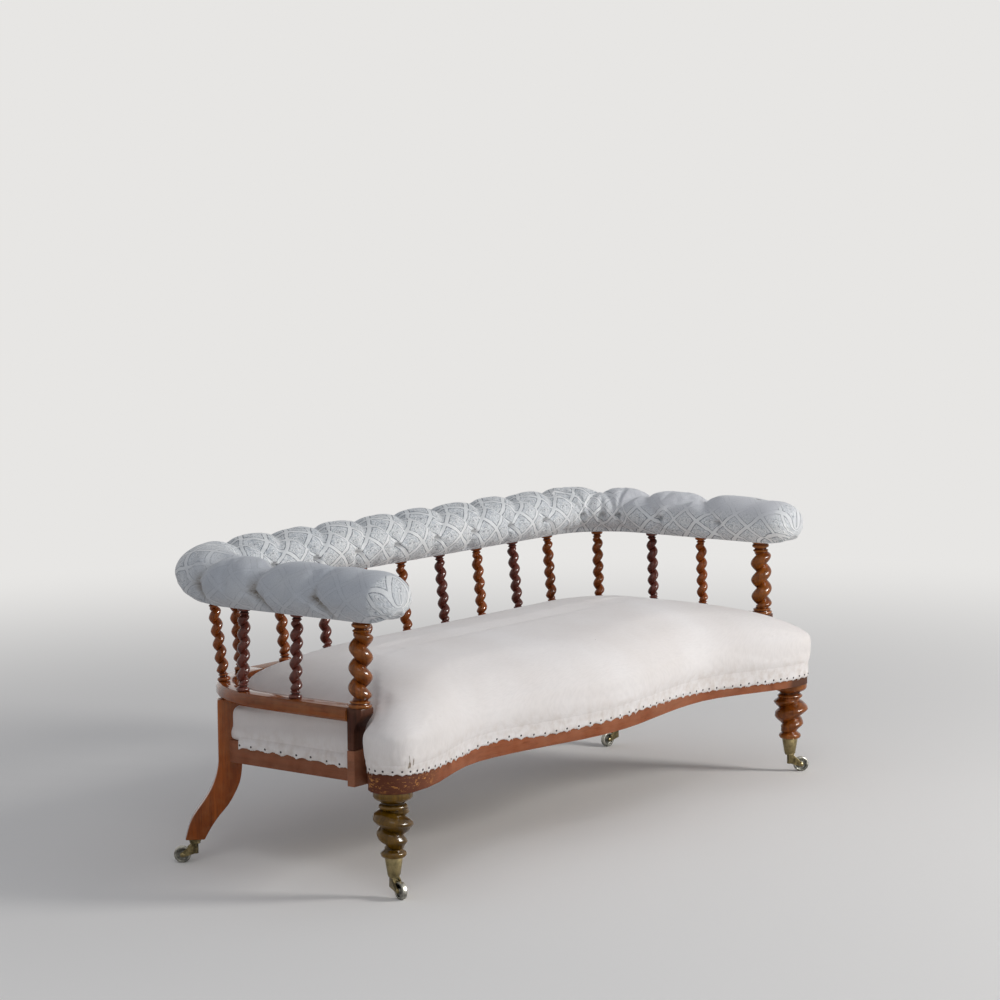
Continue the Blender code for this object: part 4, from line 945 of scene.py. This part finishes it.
def seat_edge():
    """The whole edge, round from the front's middle: points, the outward
    directions there and the shares of the front bulge."""
    half = seat_half()
    edge = half + [((-x, y), share) for (x, y), share in half[1:-1]][::-1]
    rows = []
    for k, ((x, y), front) in enumerate(edge):
        before = edge[k - 1][0]
        after = edge[(k + 1) % len(edge)][0]
        along = Vector((after[0] - before[0], after[1] - before[1])).normalized()
        rows.append(((x, y), (along.y, -along.x), front))
    return rows


def corner_tuck(x, y):
    """How far the seat draws in behind, to clear the rounded spindle rail."""
    across = abs(x) - (SPINDLE_RAIL_X - SPINDLE_RAIL_CORNER)
    behind = y - (SPINDLE_RAIL_Y - SPINDLE_RAIL_CORNER)
    if across <= 0 or behind <= 0:
        return 0.0
    return max(0.0, hypot(across, behind) - (SPINDLE_RAIL_CORNER - 0.028))


# Rings of the stuffed seat: way in to the spine, height, bulge and tuck, as shares
SEAT_RINGS = (
    (0.0, 0.0, 0.06, 0.0), (0.0, 0.14, 0.80, 0.0), (0.0, 0.30, 0.96, 0.0), (0.0, 0.42, 0.78, 0.0),
    (0.012, 0.475, 0.55, 1.0), (0.055, 0.62, 0.0, 0.8), (0.15, 0.77, 0.0, 0.3), (0.33, 0.89, 0.0, 0.0),
    (0.58, 0.965, 0.0, 0.0), (0.88, 1.0, 0.0, 0.0))
SEAT_CROWN = 0.4735
SEAT_BULGE = 0.0115
SEAT_INSET = 0.0035
# The rings head for this spine on their way to the crown
SPINE_X = 0.5
SPINE_Y = 0.29
# The cover is tacked below this height and free a little above it
SEAT_HELD = 0.300
SEAT_FREE = 0.316


def stand_out(front, bulge):
    """How far the seat's wall stands out from the rail."""
    return front * bulge * SEAT_BULGE - (1 - min(1.0, front * 1.5)) * SEAT_INSET


def seat_height(x, height):
    """Height of a ring's point, lower towards both ends of the seat."""
    share = max(0.0, abs(x) - 0.42) / 0.38
    return height - max(0.0, height - 0.36) * 0.40 * share ** 1.4


def even_rings():
    """The seat's rings again, closer together on smooth curves."""
    last = len(SEAT_RINGS) - 1
    soft = np.array([[table(k * last / 36, range(last + 1), column) for column in zip(*SEAT_RINGS)]
                     for k in range(37)])
    for _ in range(3):
        soft[1:-1] = (soft[:-2] + 2 * soft[1:-1] + soft[2:]) / 4
    return soft


def make_seat():
    edge = seat_edge()
    verts = []
    for way, up, bulge, tuck in even_rings():
        height = RAIL_TOP + 0.0005 + (SEAT_CROWN - RAIL_TOP) * up
        for (x, y), (nx, ny), front in edge:
            out = stand_out(front, bulge) - tuck * corner_tuck(x, y)
            px, py = x + nx * out, y + ny * out
            back_way = way
            if EAR_Y < y < FRONT_RAIL_BACK - 0.002 and abs(x) > SEAT_SIDE_X - 0.002:
                back_way = max(0.0, way - 0.06) / 0.94
            px += (within(px, -SPINE_X, SPINE_X) - px) * way
            py += (SPINE_Y - py) * back_way
            verts.append((px, py + LEG_LINE_Y, seat_height(px, height)))
    count = len(edge)
    faces = [tuple(range(count - 1, -1, -1)), *tube_faces(len(verts) // count, count),
             tuple(range(len(verts) - count, len(verts)))]
    seat = mesh_from("calico_seat", verts, faces)
    modify(seat, 'REMESH', mode='VOXEL', voxel_size=0.008, adaptivity=0.0)
    modify(seat, 'SMOOTH', iterations=3, factor=0.5)
    held = np.clip((SEAT_FREE - points_of(seat)[:, 2]) / (SEAT_FREE - SEAT_HELD), 0.0, 1.0)
    swell(seat, 3.0, 14, 0.004, held)
    modify(seat, 'SUBSURF', levels=1, render_levels=1)
    smooth_all(seat)
    finish_piece(seat, CALICO, "calico", "seat_stuffing")


# Mean height of the calico's cut edge along the front, by x
EDGE_LINE = ((-0.86, -0.70, -0.55, -0.38, -0.25, 0.12, 0.55, 0.86),
             (0.280, 0.270, 0.262, 0.271, 0.261, 0.268, 0.255, 0.256))
BEHIND_EAR = EAR_Y + EAR_RADIUS + 0.005
EDGE_STEP = 0.0013
STRIP_TOP = 0.3030
TACK_OVER_EDGE = 0.0065


def strip_out(height, front):
    """How far the calico's edge stands out: on the rail's face, then the seat."""
    if front > 0.5:
        share = (height - RAIL_TOP) / (SEAT_CROWN - RAIL_TOP)
        return stand_out(front, table(share, (0.0, 0.14, 0.30), (0.06, 0.80, 0.96)))
    return -SEAT_INSET * within((height - 0.2865) / 0.010)


def edge_line(x, y):
    if y > BEHIND_EAR:
        return table(y, (0.14, 0.24, 0.45), (0.262, 0.268, 0.271))
    return table(x, *EDGE_LINE)


def tack_gap(x, y):
    """Distance from one tack to the next, closer at the ends of every run."""
    if y > BEHIND_EAR:
        end = min(y - 0.14, REAR_LEG_Y - y) if abs(x) > 0.72 else 0.1
        return 0.021 + 0.024 * within(end / 0.08)
    return table(x, (-0.82, -0.76, -0.68, 0.36, 0.44, 0.80), (0.020, 0.026, 0.038, 0.038, 0.026, 0.024))


def ripple(*place):
    return noise.noise(Vector(place))


def cover_runs():
    """The seat's edge in runs that carry a row of tacks: round the front between
    the consoles, and along each side and the back between the legs."""
    whole = seat_edge()
    half = len(whole) // 2
    ends = {"front": [], "left": [], "right": [], "back": []}
    for (x, y), normal, front in whole[half:] + whole[:half]:
        if y < EAR_Y + EAR_RADIUS * 0.96 or front > 0.5:
            ends["front"].append(((x, y), normal, 1.0))
    for (x, y), normal, front in whole:
        if front <= 0.5 and 0.118 < y < 0.475 and abs(x) > 0.7:
            ends["right" if x > 0 else "left"].append(((x, y), normal, 0.0))
        elif y > 0.56 and abs(x) < 0.72:
            ends["back"].append(((x, y), normal, 0.0))
    return ends


def even_run(points):
    """Distances at even steps along a run, with x, y, direction and front."""
    rows = np.array([(*point, *normal, front) for point, normal, front in points])
    apart = np.hypot(*np.diff(rows[:, :2], axis=0).T) > 1e-6
    rows = rows[np.concatenate(([True], apart))]
    along = np.concatenate(([0.0], np.cumsum(np.hypot(*np.diff(rows[:, :2], axis=0).T))))
    where = np.linspace(0.0, along[-1], round(along[-1] / EDGE_STEP) + 1)
    return where, [np.interp(where, along, column) for column in rows.T]


def tack_places(where, xs, ys):
    """Distances of the tacks along a run."""
    places = [0.004]
    while places[-1] < where[-1] - 0.006:
        s = places[-1]
        gap = tack_gap(table(s, where, xs), table(s, where, ys))
        gap *= 1 + 0.22 * ripple(s * 40, 0.3, 1.0)
        places.append(min(where[-1] - 0.004, s + gap))
        if places[-1] - s < 0.002:
            break
    return places


def make_cut_edge():
    """The calico's frayed lower edge, in arches from tack to tack."""
    for name, points in cover_runs().items():
        where, (xs, ys, nxs, nys, fronts) = even_run(points)
        places = tack_places(where, xs, ys)
        rows = 8
        verts = []
        drop = 0.0
        for k, s in enumerate(where):
            after = int(np.searchsorted(places, s))
            arch = 0.0
            if 0 < after < len(places):
                before, share = places[after - 1], places[after] - places[after - 1]
                arch = sin(pi * (s - before) / share) ** 0.75 * min(1.0, share / 0.036)
            low = edge_line(xs[k], ys[k]) - 0.0026 + 0.0052 * arch
            low += ripple(s * 70, 3.0, len(name)) * 0.0030
            low += ripple(s * 420, 7.0, len(name)) * 0.0011
            low -= 0.020 * max(0.0, ripple(s * 640, 1.0, len(name)) - 0.40)
            drop += (STRIP_TOP - low) / len(where)
            for share in (r / (rows - 1) for r in range(rows)):
                height = low + (STRIP_TOP - low) * share
                out = strip_out(height, fronts[k]) + 0.0012 - 0.0034 * max(0.0, share - 0.6) / 0.4
                out += 0.0009 * (1 - share) * ripple(s * 60, 1.0, 0.5)
                verts.append((xs[k] + nxs[k] * out, ys[k] + nys[k] * out + LEG_LINE_Y, height))
        faces = [(k * rows + r, (k + 1) * rows + r, (k + 1) * rows + r + 1, k * rows + r + 1)
                 for k in range(len(where) - 1) for r in range(rows - 1)]
        edge = mesh_from(f"calico_edge_{name}", verts, faces)
        modify(edge, 'SOLIDIFY', thickness=0.0007, offset=-1.0)
        edit(edge)
        face_outward()
        smooth_all(edge)
        finish_piece(edge, CALICO, "calico")
        drop * 1.02


def make_tacks():
    """Domed tack heads: one is turned, the rest are its copies in one piece."""
    head = start_circle("tack_head", 10, 0.0028)
    for lift, share in ((0.0005, 0.96), (0.0008, 0.70), (0.0004, 0.45)):
        extrude((0, 0, lift), share, share)
    face_outward()
    made = []
    for name, points in cover_runs().items():
        where, (xs, ys, nxs, nys, fronts) = even_run(points)
        for number, s in enumerate(tack_places(where, xs, ys)):
            x, y, nx, ny, front = (table(s, where, column) for column in (xs, ys, nxs, nys, fronts))
            height = edge_line(x, y) + TACK_OVER_EDGE + ripple(number * 2.3, 5.0, len(name)) * 0.0022
            out = strip_out(height, front) + 0.0010
            tack = copy_of(head, "tack")
            facing = Vector((nx, ny, -0.2)).to_track_quat('Z', 'Y').to_matrix().to_4x4()
            place = Matrix.Translation((x + nx * out, y + ny * out + LEG_LINE_Y, height))
            tack.matrix_world = place @ facing
            made.append(tack)
    bpy.data.objects.remove(head)
    tacks = join("tacks", made)
    apply_place(tacks)
    smooth(tacks, 60)
    finish_piece(tacks, IRON, "castor_brass")


def swell(obj, pressure, frames, most, held, shrink=0.0):
    """Blow a cover up as cloth from inside, by no more than most. held gives each
    point's pin weight."""
    rest = points_of(obj)
    pins = obj.vertex_groups.new(name="held")
    for index, weight in enumerate(held):
        if weight > 0.001:
            pins.add([index], float(weight), 'REPLACE')
    only(obj)
    cloth = obj.modifiers.new("cloth", 'CLOTH')
    for key, value in (("vertex_group_mass", "held"), ("use_pressure", True),
                       ("uniform_pressure_force", pressure), ("mass", 0.25), ("quality", 5),
                       ("tension_stiffness", 20), ("compression_stiffness", 12),
                       ("bending_stiffness", 0.6), ("shrink_min", shrink)):
        setattr(cloth.settings, key, value)
    cloth.settings.effector_weights.gravity = 0.0
    cloth.point_cache.frame_start = 1
    cloth.point_cache.frame_end = frames
    scene = bpy.context.scene
    for number in range(1, frames + 1):
        scene.frame_set(number)
    bpy.ops.object.modifier_apply(modifier="cloth")
    moved = points_of(obj) - rest
    way = np.linalg.norm(moved, axis=1, keepdims=True)
    moved *= np.minimum(1.0, most / np.maximum(way, 1e-9))
    set_points(obj, rest + moved)
    scene.frame_set(1)
    obj.vertex_groups.clear()


# Padded roll

ROLL_X = 0.803
ROLL_Y = 0.643
ROLL_CORNER = 0.195
ROLL_BOTTOM = 0.600
ROLL_HALF = 0.079
ARM_HEIGHT = 0.110
BACK_HEIGHT = 0.118
ROLL_END_Y = 0.062
ROLL_STEP = 0.0065
# Points round a ring, of which the first ones lie under the tufted cover
ROLL_ROUND = 68
ROLL_UPPER = 61
ROLL_GIRTH = 0.358
ROLL_HELD = 0.603
ROLL_FREE = 0.608
TIP_MIDDLE = 0.046

# Plan of the roll, as distance along its middle from the back's centre
BACK_END = ROLL_X - ROLL_CORNER
ARM_START = BACK_END + pi / 2 * ROLL_CORNER
ARM_END = ARM_START + ROLL_Y - ROLL_CORNER - ROLL_END_Y
# Girth, from the inner bottom edge over the top to the outer one
INNER_PIT = 0.060
ROLL_TOP = 0.182
OUTER_PIT = 0.298


def roll_place(s):
    """Point and outward direction at a distance along the roll's middle."""
    sign = -1 if s < 0 else 1
    s = abs(s)
    arm = ROLL_Y - ROLL_CORNER
    if s <= BACK_END:
        return (sign * s, ROLL_Y), (0.0, 1.0)
    if s <= ARM_START:
        angle = pi / 2 - (s - BACK_END) / ROLL_CORNER
        return ((sign * (BACK_END + ROLL_CORNER * cos(angle)), arm + ROLL_CORNER * sin(angle)),
                (sign * cos(angle), sin(angle)))
    return (sign * ROLL_X, arm - (s - ARM_START)), (float(sign), 0.0)


def roll_creases():
    """Folds of the tufting: two ends along and round the roll, depth at each end
    and width. Outer pits draw straight over the top, then fork to the inner pits."""
    back = [BACK_END * (2 * k / 8 - 1) for k in range(9)]
    inner = [x + 0.060 for x in back[:-1]]
    outer = [(-1.197, 0.006), (-1.017, 0.026), (-0.857, 0.024)]
    outer += [(x, 0.0195) for x in back]
    outer += [(0.782, 0.016), (0.917, 0.022), (1.100, 0.024)]
    inner += [-0.700, -0.935, -1.105, 0.700, 0.782, 0.850, 1.000, 1.182]
    folds = []
    for s, top in outer:
        folds.append((s, OUTER_PIT, s, ROLL_TOP, 0.019, top, 0.036))
        forward = 0.035 if abs(s) > ARM_START else 0.0
        folds.append((s, OUTER_PIT, s + (forward if s > 0 else -forward), ROLL_GIRTH, 0.026, 0.015, 0.026))
        for pit in inner:
            if 0.02 < abs(pit - s) < 0.105:
                folds.append((s, ROLL_TOP, pit, INNER_PIT, top * 0.85, 0.009, 0.026))
    for pit in inner:
        folds.append((pit, INNER_PIT, pit, 0.0, 0.017, 0.005, 0.014))
    for s in (0.700, 0.782, 0.850):
        folds.append((s, INNER_PIT, s, ROLL_TOP - 0.02, 0.016, 0.006, 0.015))
    for sign in (-1, 1):
        folds.append((sign * 1.285, ROLL_TOP + 0.03, sign * 1.265, ROLL_TOP - 0.05, 0.0045, 0.003, 0.030))
    pits = [(s, OUTER_PIT) for s, _ in outer] + [(s, INNER_PIT) for s in inner]
    return folds, pits


def draw_depth(s, v, folds, pits):
    """How far the twine draws the cover in at each point of the unrolled roll."""
    depth = np.zeros_like(s)
    for s0, v0, s1, v1, d0, d1, wide in folds:
        ds, dv = s1 - s0, v1 - v0
        share = np.clip(((s - s0) * ds + (v - v0) * dv) / (ds * ds + dv * dv), 0.0, 1.0)
        away = np.hypot(s - s0 - share * ds, v - v0 - share * dv)
        fall = 0.46 * np.exp(-away / (0.32 * wide)) + 0.54 * np.exp(-(away / wide) ** 2)
        depth = np.maximum(depth, (d0 + (d1 - d0) * share) * fall)
    for s0, v0 in pits:
        away = np.hypot(s - s0, v - v0)
        turn = np.arctan2(v - v0, s - s0)
        depth = np.maximum(depth, 0.027 * np.exp(-(away / 0.0135) ** 2))
        depth += 0.0011 * np.cos(7 * turn + s0 * 31) * np.exp(-((away - 0.020) / 0.013) ** 2)
    return depth


def roll_stations():
    """Rings of the roll: distance of the ring and of its root along the middle,
    share of the full section, and angle round the tip of an arm."""
    tip = 16
    arm = ceil(ARM_END / ROLL_STEP)
    roots = [(-ARM_END, pi / 2 * (1 - k / tip)) for k in range(tip)]
    roots += [(ARM_END * (k / arm - 1), 0.0) for k in range(2 * arm + 1)]
    roots += [(ARM_END, pi / 2 * (k + 1) / tip) for k in range(tip)]
    rows = []
    for root, angle in roots:
        reach = sin(angle) ** 0.8 * ROLL_HALF if angle else 0.0
        scale = max(0.03, cos(angle)) ** 0.72 if angle else 1.0
        rows.append((root + (reach if root > 0 else -reach), root, scale, angle))
    return rows


def roll_point(k, s, angle, height, pull):
    """Point of a ring as out and up from the roll's middle and bottom."""
    if k >= ROLL_UPPER:
        u = ROLL_HALF * 0.5 * (1 - 2 * (k - ROLL_UPPER + 1) / (ROLL_ROUND - ROLL_UPPER + 1))
        return u, 0.004 if abs(u) < 0.023 else 0.0005
    turn = radians(240 - 300 * k / (ROLL_UPPER - 1))
    low = min(1.0, (1 + sin(turn)) * 2.2)
    pull *= low
    if angle > 0.3 and sin(turn) < 0.45:
        pull += 0.0026 * cos(turn * 13 + s) * sin(angle) * low
    z = height / 2 + (height / 2 - pull) * sin(turn)
    return (ROLL_HALF - pull) * cos(turn), 0.001 if k in (0, ROLL_UPPER - 1) else z


def roll_wear_and_fold_shade(k, s, pull, arm_share):
    """How worn the cover is at a point of a ring, and how brown its deep folds are: soil, and painted
    shade in the creases.
    """
    outer = within((k / ROLL_UPPER - 0.66) / 0.10)
    # Painted shade: the deeper the fold, the darker, most on the outer side of the arms, where soil also
    # lies.
    fold_soil_and_shade = within((pull - 0.010) / 0.009) * (0.18 + 0.75 * arm_share * outer)
    rubbed = table(k / (ROLL_UPPER - 1), (0.0, 0.20, 0.33, 0.82, 0.95), (0.0, 0.12, 1.0, 1.0, 0.75))
    rubbed = rubbed * arm_share + (1 - arm_share) * 0.10
    return rubbed * (0.35 if abs(s) > ARM_END + 0.045 else 1.0), fold_soil_and_shade


def make_roll():
    rows = roll_stations()
    count = len(rows)
    along = np.repeat([row[0] for row in rows], ROLL_UPPER)
    girth = np.tile(np.linspace(0.0, ROLL_GIRTH, ROLL_UPPER), count)
    depth = np.zeros((count, ROLL_ROUND))
    depth[:, :ROLL_UPPER] = draw_depth(along, girth, *roll_creases()).reshape(count, ROLL_UPPER)
    verts = []
    cloth = []
    marks = []
    for (s, root, scale, angle), drawn in zip(rows, depth):
        (px, py), out = roll_place(root)
        if angle:
            py -= abs(s - root)
        arm_share = within((abs(s) - ARM_START + 0.16) / 0.12)
        height = BACK_HEIGHT + (ARM_HEIGHT - BACK_HEIGHT) * within((abs(s) - BACK_END) / 0.306)
        for k in range(ROLL_ROUND):
            u, z = roll_point(k, s, angle, height, drawn[k])
            u *= scale
            z = TIP_MIDDLE + (z - TIP_MIDDLE) * scale
            verts.append((px + out[0] * u, py + out[1] * u + LEG_LINE_Y, ROLL_BOTTOM + z))
            cloth.append((s, ROLL_GIRTH * (0.5 + (min(k, ROLL_UPPER) / ROLL_UPPER - 0.5) * scale)))
            marks.append(roll_wear_and_fold_shade(k, s, drawn[k], arm_share))
    faces = [*tube_faces(count, ROLL_ROUND), tuple(range(ROLL_ROUND - 1, -1, -1)),
             tuple(range(len(verts) - ROLL_ROUND, len(verts)))]
    roll = mesh_from("padded_roll", verts, faces)
    for name, shares in zip(("worn", "fold_soil_and_shade"), zip(*marks)):
        roll.data.attributes.new(name, 'FLOAT', 'POINT').data.foreach_set("value", shares)
    corners = np.empty(len(roll.data.loops), dtype=int)
    roll.data.loops.foreach_get("vertex_index", corners)
    roll.data.uv_layers.new(name="cloth").data.foreach_set("uv", np.array(cloth)[corners].ravel())
    edit(roll)
    face_outward()
    held = np.clip((ROLL_FREE - points_of(roll)[:, 2]) / (ROLL_FREE - ROLL_HELD), 0.0, 1.0)
    held = np.maximum(held, np.clip((depth.ravel() - 0.010) / 0.004, 0.0, 0.9))
    swell(roll, 5.0, 18, 0.005, held, shrink=-0.05)
    modify(roll, 'SUBSURF', levels=1, render_levels=1)
    smooth_all(roll)
    pads = [f"{side}_{label}_pad" for side, _ in SIDES for label in ("arm", "corner")]
    finish_piece(roll, TRELLIS_CLOTH, "roll_damask", *pads, "back_pad")


# Camera, floor and lamps

CAMERA_PLACE = (-5.5488, -4.2946, 1.5767)
CAMERA_YAW = radians(52.30)
CAMERA_PITCH = 0.1144
CAMERA_ROLL = -0.0084
PALE = (0.80, 0.79, 0.775)


def make_camera():
    level = cos(CAMERA_PITCH)
    ahead = Vector((sin(CAMERA_YAW) * level, cos(CAMERA_YAW) * level, -sin(CAMERA_PITCH)))
    right = Vector((cos(CAMERA_YAW), -sin(CAMERA_YAW), 0.0))
    up = right.cross(ahead)
    rolled_right = right * cos(CAMERA_ROLL) + up * sin(CAMERA_ROLL)
    rolled_up = up * cos(CAMERA_ROLL) - right * sin(CAMERA_ROLL)
    data = bpy.data.cameras.new("camera")
    data.lens = 104.4
    data.sensor_width = 36.0
    camera = bpy.data.objects.new("camera", data)
    turned_to = Matrix((rolled_right, rolled_up, -ahead)).transposed().to_4x4()
    camera.matrix_world = Matrix.Translation(CAMERA_PLACE) @ turned_to
    bpy.context.scene.collection.objects.link(camera)
    bpy.context.scene.camera = camera


def lamp(name, place, aim_height, size, power, colour):
    data = bpy.data.lights.new(name, 'AREA')
    data.shape = 'RECTANGLE'
    data.size, data.size_y = size
    data.energy = power
    data.color = colour
    obj = bpy.data.objects.new(name, data)
    obj.location = place
    ray = Vector((0.0, 0.0, aim_height)) - obj.location
    obj.rotation_euler = ray.to_track_quat('-Z', 'Y').to_euler()
    bpy.context.scene.collection.objects.link(obj)
    return obj


def plainly_seen():
    """1 for the rays that show the backdrop, 0 for those that light the sofa."""
    rays = node("LightPath").outputs
    camera, glossy, through = (Value(rays[f"Is {kind} Ray"])
                               for kind in ("Camera", "Glossy", "Transmission"))
    return larger(camera, larger(glossy, through))


def give_surface(share, first, second, output):
    """Send a mix of two shaders to the open tree's output node."""
    both = put("MixShader", {0: share, 1: Value(first.outputs[0]), 2: second})
    connect(Build.tree.nodes[output].inputs["Surface"], both)


def make_studio():
    lamp("window", (2.6, -4.6, 2.7), 0.35, (1.3, 1.6), 161.0, (1.0, 0.985, 0.96))
    lamp("fill", (-2.4, -1.8, 3.6), 0.4, (1.6, 1.6), 16.0, (0.94, 0.97, 1.0))
    # A second window that only polished and metal parts mirror
    glint = lamp("glint", (0.9, -4.8, 2.3), 0.35, (1.9, 1.9), 620.0, (1.0, 0.99, 0.97))
    glint.visible_diffuse = False
    world = bpy.data.worlds.new("studio")
    world.use_nodes = True
    Build.tree = world.node_tree
    soft = world.node_tree.nodes["Background"]
    feed(soft, {"Color": (0.93, 0.95, 1.0, 1), "Strength": 0.40})
    give_surface(plainly_seen(), soft, put("Background", {"Color": (*PALE, 1), "Strength": 1.0}),
                 "World Output")
    bpy.context.scene.world = world
    bpy.ops.object.select_all(action='DESELECT')
    bpy.ops.mesh.primitive_plane_add(size=60.0)
    floor = bpy.context.object
    floor.name = "floor"
    made, shader = material("pale_floor")
    feed(shader, {"Base Color": (0.85, 0.835, 0.815, 1), "Roughness": 0.85, "Specular IOR Level": 0.0})
    # Far from the sofa the floor turns into the plain backdrop
    far = put("MapRange", {0: length(object_place()), 1: 1.35, 2: 4.8, 3: 0.0, 4: 1.0},
              interpolation_type='SMOOTHSTEP')
    give_surface(far * plainly_seen(), shader, put("Emission", {"Color": (*PALE, 1), "Strength": 1.0}),
                 "Material Output")
    floor.data.materials.append(made)
    bpy.context.scene.view_settings.view_transform = 'Standard'


make_camera()
make_studio()
make_roll()
make_seat()
make_cut_edge()
make_tacks()
make_spindles()
make_posts()
make_front_legs()
make_rear_legs()
make_rails()
make_castors()
for hidden, finish_used in (("seat_webbing", WEBBING), ("seat_hessian", HESSIAN), ("seat_springs", STEEL)):
    for material_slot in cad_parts[hidden].material_slots:
        material_slot.material = finish_used
